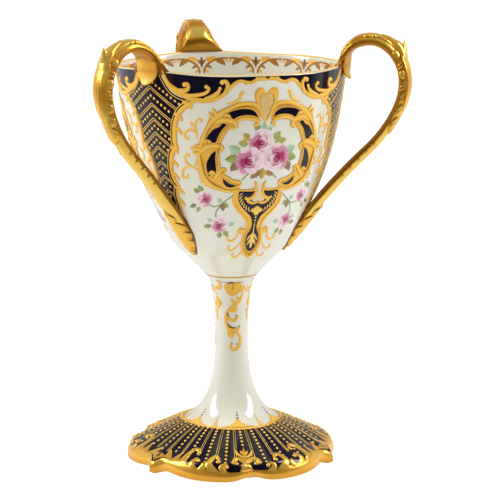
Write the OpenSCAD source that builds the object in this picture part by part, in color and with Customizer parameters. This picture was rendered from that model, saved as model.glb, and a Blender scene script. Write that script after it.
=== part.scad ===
// Three-handled porcelain loving cup on a stem and a lobed foot.
// Millimetres, +Z up. The origin is on the stem's axis, on the table under the foot.
// The front panel faces -Y. The handles stand at the joints between the three panels.

/* [Bowl] */
// Outer radius of the bowl at the rim
rim_r = 55.6; // [48:0.1:64]
// Mean height of the rim above the table
rim_z = 194.5; // [170:0.5:215]
// Outer radius of the bowl at its belly
belly_r = 40; // [34:0.5:46]
// Height of the belly
belly_z = 131; // [122:0.5:140]
// Outer radius of the bowl where it stands on the stem
base_r = 10.8; // [9.4:0.1:13]
// Height of the bowl's base, the luted joint with the stem
base_z = 89.4; // [84:0.1:96]
// Thickness of the bowl's wall
bowl_wall = 2.4; // [1.6:0.1:3.4]
// Thickness of the porcelain under the bowl's floor
floor_t = 4.6; // [3:0.1:7]

/* [Rim] */
// Half the height by which the rim climbs from the panels to the handles
rim_lift = 0.6; // [0:0.1:4]
// Height of the smaller wave that arches the rim over each panel
rim_arch = 0.3; // [0:0.1:2]

/* [Stem] */
// Outer radius of the stem at its waist
waist_r = 8.05; // [7:0.05:9.2]
// Height of the waist
waist_z = 60; // [52:0.5:68]
// Radius of the hollow through the stem
stem_bore_r = 4.4; // [3:0.1:5.2]
// Outer radius of the stem's flared lower edge
flare_r = 23.4; // [20:0.1:27]
// Height of the stem's flared lower edge
flare_z = 20.2; // [17:0.1:24]
// Thickness of the flared lower edge
flare_t = 1.4; // [1:0.1:2]
// Width of the ring on which the flare stands
flare_seat = 5; // [3:0.1:7]

/* [Foot] */
// Radius of the foot across its lobes
foot_r = 51.6; // [46:0.1:58]
// How far the edge draws in on both sides of a pointed tip
valley_in = 4; // [0:0.1:5]
// How far the pointed tips under the handles stand out past the lobes
tip_out = 0.4; // [0:0.1:3]
// How far the edge draws in at the notch between two lobes
notch_in = 3.6; // [0:0.1:5]
// How far the edge lifts off the table between its lobes
edge_lift = 1.6; // [0:0.1:2.5]
// Turn of the foot against the handles
foot_turn = 5; // [-15:1:15]
// Height of the foot's rounded edge
lip_z = 8.2; // [6:0.1:10]
// Width of the foot's rounded edge
lip_w = 3.8; // [3:0.1:5]
// Rise of the lobes over the tips and notches
lobe_rise = 1.2; // [0:0.1:2]
// Distance from the lobes' edge in to the flat ring on which the cup stands
ring_in = 10; // [9:0.1:14]
// Width of that ring
ring_w = 3.4; // [2.4:0.1:5]
// Thickness of the foot's wall
foot_wall = 3.2; // [2.6:0.1:4]

/* [Handles] */
// Distance from the rim out to the top of the arch
arch_out = 12.4; // [8:0.1:16]
// Height of the arch's centreline over the rim
arch_rise = 12.7; // [9:0.1:18]
// Distance from the rim out to the handle's furthest centreline
reach = 28.3; // [22:0.1:34]
// Drop from the rim to that furthest point
reach_drop = 7.5; // [3:0.5:12]
// Width of a handle where it springs from the rim
root_w = 26; // [20:0.5:30]
// Width of a handle over the arch and the grip
grip_w = 11.4; // [9:0.1:14]
// Thickness of a handle over the arch and the grip
grip_t = 6.4; // [5:0.1:8]
// Width of the leaf that ends a handle on the bowl
leaf_w = 13.4; // [10:0.1:16]
// Height of the tip of that leaf over the bowl's base
leaf_up = 15.1; // [10:0.1:20]
// Length of the leaf that lies along the bowl's wall
leaf_l = 20.6; // [15:0.1:26]
// Height of the spur over the handle's shoulder
spur_h = 6.4; // [4:0.1:8]
// Length of the tongue that laps over the outside of the rim
tongue_l = 10; // [6:0.5:12]

/* [Joints] */
// Thickness of the fired slip that lutes the pieces together
slip_t = 0.4; // [0.2:0.05:0.8]
// Clearance of the bowl's locating boss in the stem
boss_gap = 0.4; // [0.1:0.05:0.8]
// Length of the locating boss
boss_l = 5; // [3:0.5:8]
// Clearance of the stem's edge in the foot's recess
recess_gap = 0.3; // [0.1:0.05:0.5]

/* [Hidden] */

// Directions of the handles about the axis, in the order right, back, left
handle_angles = [-30, 90, 210];
panel_turn = 60;
panels = 3;
around = 96;

// Shape factors of the curves: the arm lengths of each Bezier as shares of its span
rim_lean = 7.7;
belly_lean = 24.2;
base_lean = 41;
rim_arm = 0.42;
belly_arm_up = 0.38;
belly_arm_down = 0.85;
base_arm = 0.64;
curve_steps = 12;

// The rim is cut from a blank that stands this far over its mean height
rim_blank = 2 * (rim_lift + rim_arch);
inner_floor_z = base_z + floor_t;
stem_top_z = base_z - slip_t;
stem_top_r = base_r;
flare_bottom_z = flare_z - flare_t;
recess_z = flare_bottom_z - slip_t;
recess_r = flare_r + recess_gap;
foot_hole_r = flare_r - flare_seat;
boss_r = stem_bore_r - boss_gap;
ring_r = foot_r - ring_in;
leaf_z = base_z + leaf_up;

// Porcelain white, burnished gold, cobalt and the chalky white of fired slip
white = [0.93, 0.93, 0.90];
gold = [0.83, 0.62, 0.20];
cobalt = [0.10, 0.10, 0.20];
slip_white = [0.88, 0.86, 0.81];

// Points and curves

function bezier(p, t) = let (u = 1 - t)
    u * u * u * p[0] + 3 * u * u * t * p[1] + 3 * u * t * t * p[2] + t * t * t * p[3];

function bezier_line(p, steps) = [for (i = [0 : steps]) bezier(p, i / steps)];

function lean_direction(angle) = [sin(angle), cos(angle)];

function tail(list) = [for (i = [1 : len(list) - 1]) list[i]];

function reversed(list) = [for (i = [len(list) - 1 : -1 : 0]) list[i]];

function tangent(line, i) = let (
    a = line[max(i - 1, 0)],
    b = line[min(i + 1, len(line) - 1)]
) (b - a) / norm(b - a);

// A line moved sideways, to its right for a positive distance
function moved_line(line, distance) = [for (i = [0 : len(line) - 1])
    let (d = tangent(line, i)) line[i] + distance * [d[1], -d[0]]];

// Bowl

belly = [belly_r, belly_z];
rim = [rim_r, rim_z];
base = [base_r, base_z];

lower_wall = [
    base,
    base + base_arm * (belly_z - base_z) * lean_direction(base_lean),
    belly - belly_arm_down * (belly_z - base_z) * lean_direction(belly_lean),
    belly
];

upper_wall = [
    belly,
    belly + belly_arm_up * (rim_z - belly_z) * lean_direction(belly_lean),
    rim - rim_arm * (rim_z - belly_z) * lean_direction(rim_lean),
    rim
];

// The outside of the bowl, from its base up to the top of the rim's blank
bowl_line = concat(
    bezier_line(lower_wall, curve_steps),
    tail(bezier_line(upper_wall, curve_steps)),
    [rim + rim_blank / cos(rim_lean) * lean_direction(rim_lean)]
);

function line_r(line, z) = lookup(z, [for (p = line) [p[1], p[0]]]);

// The height of the rim at an angle from the middle of a panel
function rim_height(angle) = rim_z - rim_lift * cos(3 * angle) + rim_arch * cos(6 * angle);

// Everything over the wavy rim, as one prism for each panel
module over_rim(gap = 0) {
    overlap = 1.04;
    steps = 20;
    half_w = overlap * rim_r * sin(panel_turn);
    far = 2 * rim_r;
    wave = [for (i = [-steps : steps])
        let (t = half_w * i / steps) [t, rim_height(asin(t / rim_r)) + gap]];
    for (angle = handle_angles)
        rotate([0, 0, angle - panel_turn])
            rotate([90, 0, 90])
                linear_extrude(height = far)
                    polygon(concat(wave, [[half_w, 2 * rim_z], [-half_w, 2 * rim_z]]));
}

// The bowl's outer form without its hollow, grown by a gap, to seat the handles on
module bowl_form(gap = 0) {
    wall = moved_line(bowl_line, gap);
    difference() {
        rotate_extrude($fn = around)
            polygon(concat([[0, wall[0][1]]], wall, [[0, wall[len(wall) - 1][1]]]));
        over_rim(gap);
    }
}

module bowl() {
    inner = [for (p = moved_line(bowl_line, -bowl_wall)) if (p[1] > inner_floor_z + floor_t) p];
    floor_curve = bezier_line([
        [0, inner_floor_z],
        [inner[0][0] * 0.5, inner_floor_z],
        inner[0] - (inner[1] - inner[0]),
        inner[0]
    ], curve_steps);
    color(white) difference() {
        rotate_extrude($fn = around)
            polygon(concat(
                [[0, base_z - boss_l], [boss_r, base_z - boss_l], [boss_r, base_z]],
                bowl_line,
                reversed(inner),
                tail(reversed(floor_curve))
            ));
        over_rim();
    }
}

// Stem

stem_shoulder = 5;
shoulder_in = 0.7;
waist_arm_up = 0.36;
waist_arm_down = 0.39;
flare_arm = [13.3, -6.4];

stem_upper = [
    [stem_top_r, stem_top_z],
    [(stem_top_r + waist_r) / 2 - shoulder_in, stem_top_z - stem_shoulder],
    [waist_r, waist_z + waist_arm_up * (stem_top_z - waist_z)],
    [waist_r, waist_z]
];

stem_lower = [
    [waist_r, waist_z],
    [waist_r, waist_z - waist_arm_down * (waist_z - flare_z)],
    [flare_r, flare_z] - flare_arm,
    [flare_r, flare_z]
];

stem_line = concat(bezier_line(stem_upper, curve_steps), tail(bezier_line(stem_lower, curve_steps)));

module stem() {
    bore_line = bezier_line([
        [stem_bore_r, waist_z],
        [stem_bore_r, waist_z - waist_arm_down * (waist_z - flare_z)],
        [foot_hole_r, flare_bottom_z] - flare_arm,
        [foot_hole_r, flare_bottom_z]
    ], curve_steps);
    color(white) rotate_extrude($fn = around)
        polygon(concat(
            stem_line,
            [[flare_r, flare_bottom_z]],
            reversed(bore_line),
            [[stem_bore_r, stem_top_z]]
        ));
}

module stem_slip_joint() {
    color(slip_white) rotate_extrude($fn = around)
        polygon([
            [stem_bore_r, stem_top_z],
            [stem_top_r, stem_top_z],
            [base_r, base_z],
            [stem_bore_r, base_z]
        ]);
}

// Foot

dome_steps = 7;
edge_round = 0.8;
tip_angle = 4.5;
valley_angle = 19;
notch_angle = 8;

function bump(angle, half_width) = exp(-pow(angle / half_width, 2));

// The foot's tips, the valleys beside them and its notches, by the angle from the nearest tip
function tip(a) = bump(a, tip_angle);
function valley(a) = bump(a, valley_angle);
function notch(a) = bump(panel_turn - abs(a), notch_angle);

function foot_outline(a) = foot_r
    + (tip_out + valley_in) * tip(a) - valley_in * valley(a) - notch_in * notch(a);

function foot_lift(a) = edge_lift * (valley(a) - tip(a) + notch(a));

// The foot's upper side, from the stem out to its rounded edge
function foot_dome(a) = let (
    crest = [
        (foot_r + foot_outline(a)) / 2 - lip_w,
        lip_z + lobe_rise * (1 - valley(a) - notch(a))
    ],
    top = [recess_r, flare_z],
    fall = top[1] - crest[1],
    run = crest[0] - top[0]
) bezier_line([top, top + [run * 0.3, -fall * 0.2], crest + [-run * 0.38, fall * 0.38], crest], dome_steps);

// One closed section through the foot's wall, at an angle from the nearest tip
function foot_section(a) = let (
    dome = foot_dome(a),
    crest = dome[dome_steps],
    edge = [foot_outline(a), foot_lift(a)],
    lip = bezier_line([
        crest,
        crest + lip_w * [0.6, -0.32],
        edge + [edge_round * 0.25, lip_z * 0.5],
        edge + edge_round * [-0.6, 1]
    ], 4),
    lining = moved_line(dome, foot_wall),
    under = [for (i = [dome_steps : -1 : 2]) lining[i]],
    recess = [[foot_hole_r, recess_z - foot_wall], [foot_hole_r, recess_z], [recess_r, recess_z]]
) concat(dome, tail(lip), [edge + edge_round * [-2, 0.4]], under, recess);

module foot() {
    // Sections crowd towards each tip, where the outline turns most
    half_sector = [2, 4, 6.5, 10, 15, 21, 28, 35, 42, 48, 54];
    sector = concat([-panel_turn], [for (a = reversed(half_sector)) -a], [0], half_sector);
    first = handle_angles[0] - foot_turn;
    rings = [for (k = [0 : panels - 1]) for (a = sector)
        let (turn = first + 2 * panel_turn * k + a)
        [for (p = foot_section(a)) [p[0] * cos(turn), p[0] * sin(turn), p[1]]]];
    ring_top = lookup(ring_r, foot_dome(panel_turn)) - foot_wall * 0.4;
    color(cobalt) {
        closed_loft(rings);
        rotate_extrude($fn = around)
            translate([ring_r - ring_w, 0])
                square([ring_w, ring_top]);
    }
}

module foot_slip_joint() {
    color(slip_white) rotate_extrude($fn = around)
        polygon([
            [foot_hole_r, recess_z],
            [flare_r, recess_z],
            [flare_r, flare_bottom_z],
            [foot_hole_r, flare_bottom_z]
        ]);
}

// Lofts

function quad_faces(a, b, c, d) = [[a, b, c], [a, c, d]];

// Faces between rings of the same count of points, for rings that run round the loft
function loft_faces(rings, per_ring, closed) = [
    for (i = [0 : rings - (closed ? 1 : 2)])
        for (j = [0 : per_ring - 1])
            let (
                k = (j + 1) % per_ring,
                here = i * per_ring,
                next = ((i + 1) % rings) * per_ring
            )
            each quad_faces(here + j, next + j, next + k, here + k)
];

// Rings joined into a hoop
module closed_loft(rings) {
    polyhedron(
        points = [for (r = rings) each r],
        faces = loft_faces(len(rings), len(rings[0]), true)
    );
}

// Rings joined into a bar with flat ends
module open_loft(rings) {
    n = len(rings);
    m = len(rings[0]);
    polyhedron(
        points = [for (r = rings) each r],
        faces = concat(
            loft_faces(n, m, false),
            [[for (j = [0 : m - 1]) j]],
            [[for (j = [m - 1 : -1 : 0]) (n - 1) * m + j]]
        )
    );
}

// Handles, drawn in a plane through the axis: x is the radius, z the height, y across the handle

section_points = 12;
section_power = 0.86;

function softened(v) = sign(v) * pow(abs(v), section_power);

// A rounded section at point i of a line, bent round the axis as the bowl is
function bar_ring(line, i, w, t) = let (
    d = tangent(line, i),
    n = [-d[1], d[0]],
    c = line[i]
) [for (j = [0 : section_points - 1]) let (
    a = 360 * j / section_points,
    y = w / 2 * softened(cos(a)),
    s = t / 2 * softened(sin(a)),
    bend = y * y / (2 * max(c[0], leaf_w))
) [c[0] + n[0] * s - bend, y, c[1] + n[1] * s]];

// A bar along a line, whose width and thickness are looked up by the share of its points
module bar(line, widths, thicknesses) {
    last = len(line) - 1;
    open_loft([for (i = [0 : last])
        bar_ring(line, i, lookup(i / last, widths), lookup(i / last, thicknesses))]);
}

// Sizes of the handle's line: how far it sinks into the rim, where the lower arm leans most,
// how far the leaf's middle lies off the wall, and the arm lengths of its curves
root_sink = 1;
lean_angle = 45.8;
lean_in = 16.7;
lean_drop = 32;
leaf_off = 0.6;
root_arm = 8.6;
arch_arm_in = 7.4;
arch_arm_out = 9.4;
elbow_arm_up = 10.5;
elbow_arm_down = 11;
lean_arm_up = 12;
lean_arm_down = 15;

function off_wall(z, gap) = [line_r(bowl_line, z) + gap, z];

root = [rim_r - bowl_wall / 2, rim_z - root_sink];
arch = [rim_r + arch_out, rim_z + arch_rise];
elbow = [rim_r + reach, rim_z - reach_drop];
lower_arm = elbow - [lean_in, lean_drop];
lower_lean = lean_direction(lean_angle);

handle_steps = 10;
handle_line = concat(
    bezier_line([root, root + [0, root_arm], arch - [arch_arm_in, 0], arch], handle_steps),
    tail(bezier_line([arch, arch + [arch_arm_out, 0], elbow + [0, elbow_arm_up], elbow], handle_steps)),
    tail(bezier_line(
        [elbow, elbow - [0, elbow_arm_down], lower_arm + lean_arm_up * lower_lean, lower_arm],
        handle_steps
    )),
    tail(bezier_line(
        [
            lower_arm,
            lower_arm - lean_arm_down * lower_lean,
            off_wall(leaf_z + leaf_l, leaf_off),
            off_wall(leaf_z, leaf_off)
        ],
        2 * handle_steps
    ))
);
handle_last = len(handle_line) - 1;

// Width and thickness along the handle: flared root, grip, slim lower arm, serrated leaf
neck_w = grip_w * 1.18;
arm_w = grip_w * 0.77;
handle_widths = [
    [0, root_w], [0.02, root_w * 0.82], [0.04, root_w * 0.66], [0.07, neck_w * 1.1], [0.11, neck_w],
    [0.2, grip_w], [0.46, grip_w], [0.6, arm_w], [0.78, arm_w * 0.95],
    [0.82, leaf_w * 0.66], [0.84, leaf_w * 0.84], [0.86, leaf_w * 0.76], [0.885, leaf_w * 0.97],
    [0.905, leaf_w * 0.85], [0.93, leaf_w], [0.95, leaf_w * 0.8], [0.97, leaf_w * 0.76],
    [0.985, leaf_w * 0.5], [1, leaf_w * 0.28]
];
handle_thicknesses = [
    [0, bowl_wall * 1.6], [0.06, grip_t * 0.75], [0.16, grip_t], [0.45, grip_t], [0.62, grip_t * 0.81],
    [0.8, grip_t * 0.84], [0.93, grip_t * 0.72], [1, grip_t * 0.25]
];

// Where the husks sit, as shares of the handle's points: arch, grip and lower arm
husk_shares = [0.19, 0.34, 0.38, 0.42, 0.56, 0.6, 0.64, 0.68];

// The leaf over the handle's shoulder: it lies on the outer face and its tip stands free as a spur
shoulder_from = round(handle_last * 0.33);
shoulder_to = round(handle_last * 0.55);
shoulder_t = 2.2;
spur_out = 0.4;
spur_bow = 0.7;
outer_face = moved_line(handle_line, shoulder_t / 4 - grip_t / 2);
spur_tip = [elbow[0] + spur_out, outer_face[shoulder_from][1] + spur_h];
shoulder_line = concat(
    [spur_tip, (spur_tip + outer_face[shoulder_from]) / 2 + [spur_bow, 0]],
    [for (i = [shoulder_from : shoulder_to]) outer_face[i]]
);
shoulder_widths = [
    [0, grip_w * 0.09], [0.12, grip_w * 0.55], [0.22, grip_w * 0.95], [0.32, grip_w * 0.82], [0.45, grip_w * 1.04],
    [0.55, grip_w * 0.84], [0.68, grip_w * 0.96], [0.8, grip_w * 0.7], [0.92, grip_w * 0.5], [1, grip_w * 0.1]
];
shoulder_thicknesses = [[0, shoulder_t * 0.36], [0.2, shoulder_t], [0.8, shoulder_t], [1, shoulder_t * 0.36]];

// The tongue that laps over the rim and flicks out at its tip
tongue_t = 3.2;
tongue_up = 9;
tongue_lie = 1.8;
tongue_flick = 3.6;
tongue_top = [rim_r + tongue_lie, rim_z + tongue_up];
tongue_tip = off_wall(rim_z - tongue_l * 0.62, tongue_flick);
tongue_line = bezier_line([
    tongue_top,
    tongue_top - [0, tongue_l * 0.55],
    tongue_tip + [-tongue_flick, tongue_l * 0.28],
    tongue_tip
], 9);
tongue_widths = [
    [0, neck_w * 0.6], [0.3, neck_w * 0.8], [0.55, neck_w * 0.8], [0.8, neck_w * 0.56], [1, neck_w * 0.2]
];
tongue_thicknesses = [[0, tongue_t * 0.62], [0.4, tongue_t], [0.8, tongue_t * 0.75], [1, tongue_t * 0.31]];

// A pair of husks on the handle's sides, at point i of its line
module husks(i) {
    size = grip_t * 0.34;
    d = tangent(handle_line, i);
    c = handle_line[i];
    for (side = [-1, 1])
        hull() {
            translate([c[0], side * arm_w * 0.42, c[1]]) sphere(size, $fn = 8);
            translate([c[0] + d[0] * size, side * arm_w * 0.4, c[1] + d[1] * size])
                sphere(size * 0.5, $fn = 8);
        }
}

module handle_blank() {
    bar(handle_line, handle_widths, handle_thicknesses);
    bar(shoulder_line, shoulder_widths, shoulder_thicknesses);
    bar(tongue_line, tongue_widths, tongue_thicknesses);
    for (share = husk_shares)
        husks(round(handle_last * share));
}

module handle(angle) {
    color(gold) difference() {
        rotate([0, 0, angle]) handle_blank();
        bowl_form(slip_t);
    }
}

module handle_right() { handle(handle_angles[0]); }

module handle_back() { handle(handle_angles[1]); }

module handle_left() { handle(handle_angles[2]); }

// The slip between a handle and the bowl, above or below the belly
module slip_pads(low, high) {
    color(slip_white) intersection() {
        for (angle = handle_angles)
            rotate([0, 0, angle]) handle_blank();
        difference() {
            bowl_form(slip_t);
            bowl_form();
        }
        translate([0, 0, low]) cylinder(r = 2 * rim_r, h = high - low);
    }
}

module rim_slip_joints() { slip_pads(belly_z, 2 * rim_z); }

module leaf_slip_joints() { slip_pads(0, belly_z); }

bowl();
stem();
foot();
handle_right();
handle_left();
handle_back();
stem_slip_joint();
foot_slip_joint();
rim_slip_joints();
leaf_slip_joints();
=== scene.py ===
"""Looks of a three-handled porcelain loving cup: glaze, cobalt grounds, gilding and painted roses."""
import math

import bpy
import numpy as np
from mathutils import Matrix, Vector
from mathutils.geometry import delaunay_2d_cdt


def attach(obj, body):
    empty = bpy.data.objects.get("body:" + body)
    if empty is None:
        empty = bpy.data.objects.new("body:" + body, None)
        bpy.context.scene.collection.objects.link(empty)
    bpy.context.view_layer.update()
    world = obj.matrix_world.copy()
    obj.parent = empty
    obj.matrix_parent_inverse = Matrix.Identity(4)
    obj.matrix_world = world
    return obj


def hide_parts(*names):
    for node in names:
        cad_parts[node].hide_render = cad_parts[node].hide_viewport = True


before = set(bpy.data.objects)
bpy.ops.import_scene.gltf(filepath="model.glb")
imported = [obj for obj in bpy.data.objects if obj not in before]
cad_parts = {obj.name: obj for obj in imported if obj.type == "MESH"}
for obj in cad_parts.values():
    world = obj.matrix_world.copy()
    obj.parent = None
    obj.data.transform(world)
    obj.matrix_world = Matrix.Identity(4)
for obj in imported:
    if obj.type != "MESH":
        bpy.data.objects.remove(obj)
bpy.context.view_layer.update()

# Sizes in millimetres, as in the solids
MM = 0.001
RIM_R, RIM_Z = 55.6, 194.5
BELLY_R, BELLY_Z = 40.0, 131.0
BASE_R, BASE_Z = 10.8, 89.4
BOWL_WALL, FLOOR_T = 2.4, 4.6
RIM_LIFT, RIM_ARCH = 0.6, 0.3
WAIST_R, WAIST_Z = 8.05, 60.0
STEM_BORE_R = 4.4
FLARE_R, FLARE_Z, FLARE_T, FLARE_SEAT = 23.4, 20.2, 1.4, 5.0
FOOT_R = 51.6
VALLEY_IN, TIP_OUT, NOTCH_IN, EDGE_LIFT = 4.0, 0.4, 3.6, 1.6
LIP_Z, LIP_W, LOBE_RISE = 8.2, 3.8, 1.2
RING_R, RING_W, FOOT_WALL = 41.6, 3.4, 3.2
ARCH_OUT, ARCH_RISE, REACH, REACH_DROP = 12.4, 12.7, 28.3, 7.5
ROOT_W, GRIP_W, GRIP_T, LEAF_W = 26.0, 11.4, 6.4, 13.4
LEAF_UP, LEAF_L, SPUR_H, TONGUE_L = 15.1, 20.6, 6.4, 10.0
SLIP_T, BOSS_L, BOSS_GAP, RECESS_GAP = 0.4, 5.0, 0.4, 0.3
HANDLES = {"handle_right": -30.0, "handle_back": 90.0, "handle_left": 210.0}
# The foot is turned a little from the handles: one of its tips, and the notch half way to the next
FOOT_TIP = HANDLES["handle_right"] - 5.0
FOOT_NOTCH = FOOT_TIP - 60
PANELS = {"front": -90.0, "right": 30.0, "left": 150.0}
# The painters set each panel a little off the middle between its handles
PANEL_TURN = 1.1


# Curves in a plane

TINY = 1e-9


def mix(t, a, b, c, d):
    """A cubic curve from a to d that is drawn towards b and c."""
    u = 1 - t
    return u ** 3 * a + 3 * u * u * t * b + 3 * u * t * t * c + t ** 3 * d


def bezier(points, steps):
    return mix(np.linspace(0, 1, steps + 1)[:, None], *np.array(points, float))


def chain(*curves):
    """Curves joined into one line, each from the end of the last."""
    return np.vstack([curves[0]] + [c[1:] for c in curves[1:]])


def lean(angle):
    """A step of one upwards, leaning out by an angle in degrees."""
    return np.array([math.sin(math.radians(angle)), math.cos(math.radians(angle))])


def run_along(line):
    """How far along a line each of its points lies."""
    return np.r_[0, np.cumsum(np.linalg.norm(np.diff(line, axis=0), axis=1))]


def read(at, places, rows):
    """Rows that are known at some places, read at others."""
    return np.stack([np.interp(at, places, column) for column in rows.T], 1)


def spaced(line, step):
    """The line with its points a step apart."""
    line = np.asarray(line, float)
    run = run_along(line)
    count = max(int(round(run[-1] / step)), 2)
    return read(np.linspace(0, run[-1], count + 1), run, line)


def smooth(points, step=0.4):
    """A smooth line through the points."""
    p = np.asarray(points, float)
    if len(p) == 2:
        return spaced(p, step)
    p = np.vstack([2 * p[0] - p[1], p, 2 * p[-1] - p[-2]])
    t = np.linspace(0, 1, 13)[:-1, None]
    parts = []
    for a, b, c, d in zip(p, p[1:], p[2:], p[3:]):
        parts.append(b + 0.5 * t * (c - a + t * (2 * a - 5 * b + 4 * c - d + t * (3 * (b - c) + d - a))))
    return spaced(np.vstack(parts + [p[-2:-1]]), step)


def normals(line):
    """Unit normals to the left of a line."""
    d = np.gradient(np.asarray(line, float), axis=0)
    d /= np.maximum(np.linalg.norm(d, axis=1, keepdims=True), TINY)
    return np.stack([-d[:, 1], d[:, 0]], 1)


def eased(x, low, high):
    """A soft step from 0 at low to 1 at high."""
    t = np.clip((np.asarray(x, float) - low) / (high - low), 0, 1)
    return t * t * (3 - 2 * t)


# Forms: the bowl's wall, the stem and the foot

BASE, BELLY, RIM = np.array([(BASE_R, BASE_Z), (BELLY_R, BELLY_Z), (RIM_R, RIM_Z)])
BASE_LEAN, BELLY_LEAN, RIM_LEAN = 41, 24.2, 7.7
LOWER_SPAN, UPPER_SPAN = BELLY_Z - BASE_Z, RIM_Z - BELLY_Z
BASE_ARM, BELLY_ARM_DOWN = 0.64 * LOWER_SPAN, 0.85 * LOWER_SPAN
BELLY_ARM_UP, RIM_ARM = 0.38 * UPPER_SPAN, 0.42 * UPPER_SPAN
# The wall's line runs on past the rim, whose wave rises above it
PAST_RIM = 8
BOWL_LINE = chain(
    bezier([BASE, BASE + BASE_ARM * lean(BASE_LEAN), BELLY - BELLY_ARM_DOWN * lean(BELLY_LEAN), BELLY], 60),
    bezier([BELLY, BELLY + BELLY_ARM_UP * lean(BELLY_LEAN), RIM - RIM_ARM * lean(RIM_LEAN), RIM], 60),
    np.array([RIM, RIM + PAST_RIM * lean(RIM_LEAN)]),
)
INNER_FLOOR = BASE_Z + FLOOR_T
FLOOR_ARM = 2.4


def inner_bowl_line():
    wall = BOWL_LINE + BOWL_WALL * normals(BOWL_LINE)
    wall = wall[wall[:, 1] > INNER_FLOOR + FLOOR_T]
    turn = wall[0] - FLOOR_ARM * (wall[1] - wall[0]) / np.linalg.norm(wall[1] - wall[0])
    floor = bezier([[0, INNER_FLOOR], [wall[0][0] * 0.5, INNER_FLOOR], turn, wall[0]], 30)
    return chain(floor, wall)


INNER_LINE = inner_bowl_line()
# The same line without the floor's middle, so that each height has one radius
INNER_WALL = INNER_LINE[INNER_LINE[:, 1] > INNER_FLOOR + 0.01]

STEM_TOP = BASE_Z - SLIP_T
FLARE_ARM = np.array([13.3, -6.4])
FLARE_END = np.array([FLARE_R, FLARE_Z])
WAIST_LOW = WAIST_Z - 0.39 * (WAIST_Z - FLARE_Z)
WAIST_HIGH = WAIST_Z + 0.36 * (STEM_TOP - WAIST_Z)
TOP_ARM = np.array([(BASE_R + WAIST_R) / 2 - 0.7, STEM_TOP - 5])
STEM_LINE = chain(
    bezier([FLARE_END, FLARE_END - FLARE_ARM, [WAIST_R, WAIST_LOW], [WAIST_R, WAIST_Z]], 50),
    bezier([[WAIST_R, WAIST_Z], [WAIST_R, WAIST_HIGH], TOP_ARM, [BASE_R, STEM_TOP]], 40),
)


def rim_height(angle):
    """Height of the rim at an angle in degrees about the axis."""
    a = np.radians(np.asarray(angle, float) + 90)
    return RIM_Z - RIM_LIFT * np.cos(3 * a) + RIM_ARCH * np.cos(6 * a)


def third(angle, start):
    """Degrees from the nearest of three places round the cup, one of them at the start."""
    return (angle - start + 60) % 120 - 60


def bump(angle, half_width):
    return np.exp(-(angle / half_width) ** 2)


class Foot:
    """The foot's section by the angle from its nearest tip."""

    TIP_W, VALLEY_W, NOTCH_W, EDGE_R = 4.5, 19.0, 8.0, 0.8

    def __init__(self, angle):
        a = np.abs(third(np.asarray(angle, float), FOOT_TIP))
        tip, valley, notch = bump(a, self.TIP_W), bump(a, self.VALLEY_W), bump(60 - a, self.NOTCH_W)
        self.outline = FOOT_R + (TIP_OUT + VALLEY_IN) * tip - VALLEY_IN * valley - NOTCH_IN * notch
        self.lift = EDGE_LIFT * (valley - tip + notch)
        self.crest_r = (FOOT_R + self.outline) / 2 - LIP_W
        self.crest_z = LIP_Z + LOBE_RISE * (1 - valley - notch)

    def upper(self, s):
        """Radius and height at s: 0 by the stem, 1 on the crest of the edge, 2 under it."""
        s = np.asarray(s, float)
        t, q = np.clip(s, 0, 1), np.clip(s - 1, 0, 1)
        out, top, edge = self.crest_r, self.crest_z, self.EDGE_R
        start = FLARE_R + RECESS_GAP
        run = self.crest_r - FLARE_R - RECESS_GAP
        fall = FLARE_Z - top
        r = mix(t, start, start + 0.3 * run, out - 0.38 * run, out)
        z = mix(t, FLARE_Z, FLARE_Z - 0.2 * fall, top + 0.38 * fall, top)
        lip_r = mix(q, out, out + 0.6 * LIP_W, self.outline + 0.25 * edge, self.outline - 0.6 * edge)
        lip_z = mix(q, top, top - 0.32 * LIP_W, self.lift + 0.5 * LIP_Z, self.lift + edge)
        return np.where(s > 1, lip_r, r), np.where(s > 1, lip_z, z)


def full_turn(count):
    """Evenly spaced angles in degrees."""
    return np.arange(count) * 360 / count


def hoop(angles, r, z):
    """Points round the axis at angles in degrees."""
    a = np.radians(angles)
    r, z = np.broadcast_to(r, a.shape), np.broadcast_to(z, a.shape)
    return np.stack([r * np.cos(a), r * np.sin(a), z], 1)


# Surfaces: each takes flat coordinates and a lift, and gives points in the part's frame

class Wall:
    """A turned wall. Flat x is the length round it from a middle angle, flat z the height."""

    def __init__(self, line, middle, outward=1):
        order = np.argsort(line[:, 1])
        self.z, self.r = line[order, 1], line[order, 0]
        self.middle = math.radians(middle)
        self.outward = outward

    def radius(self, z):
        return np.interp(z, self.z, self.r)

    def __call__(self, flat, lift=0.0):
        flat = np.asarray(flat, float)
        x, z = flat[:, 0], flat[:, 1]
        r = self.radius(z)
        slope = self.radius(z + 0.5) - self.radius(z - 0.5)
        size = np.sqrt(1 + slope ** 2) * self.outward
        angle = self.middle + self.outward * x / np.maximum(r, 1.0)
        out = r + lift / size
        return np.stack([out * np.cos(angle), out * np.sin(angle), z - lift * slope / size], 1)


class Flare:
    """The foot of the stem. Flat x is the length round its edge, flat y the length up its line."""

    def __init__(self, line):
        self.line = line
        self.run = run_along(line)
        self.side = -normals(line)

    def __call__(self, flat, lift=0.0):
        flat = np.asarray(flat, float)
        r, z = read(flat[:, 1], self.run, self.line).T
        nr, nz = read(flat[:, 1], self.run, self.side).T
        angle = flat[:, 0] / self.line[0, 0]
        r = r + lift * nr
        return np.stack([r * np.cos(angle), r * np.sin(angle), z + lift * nz], 1)


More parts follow.
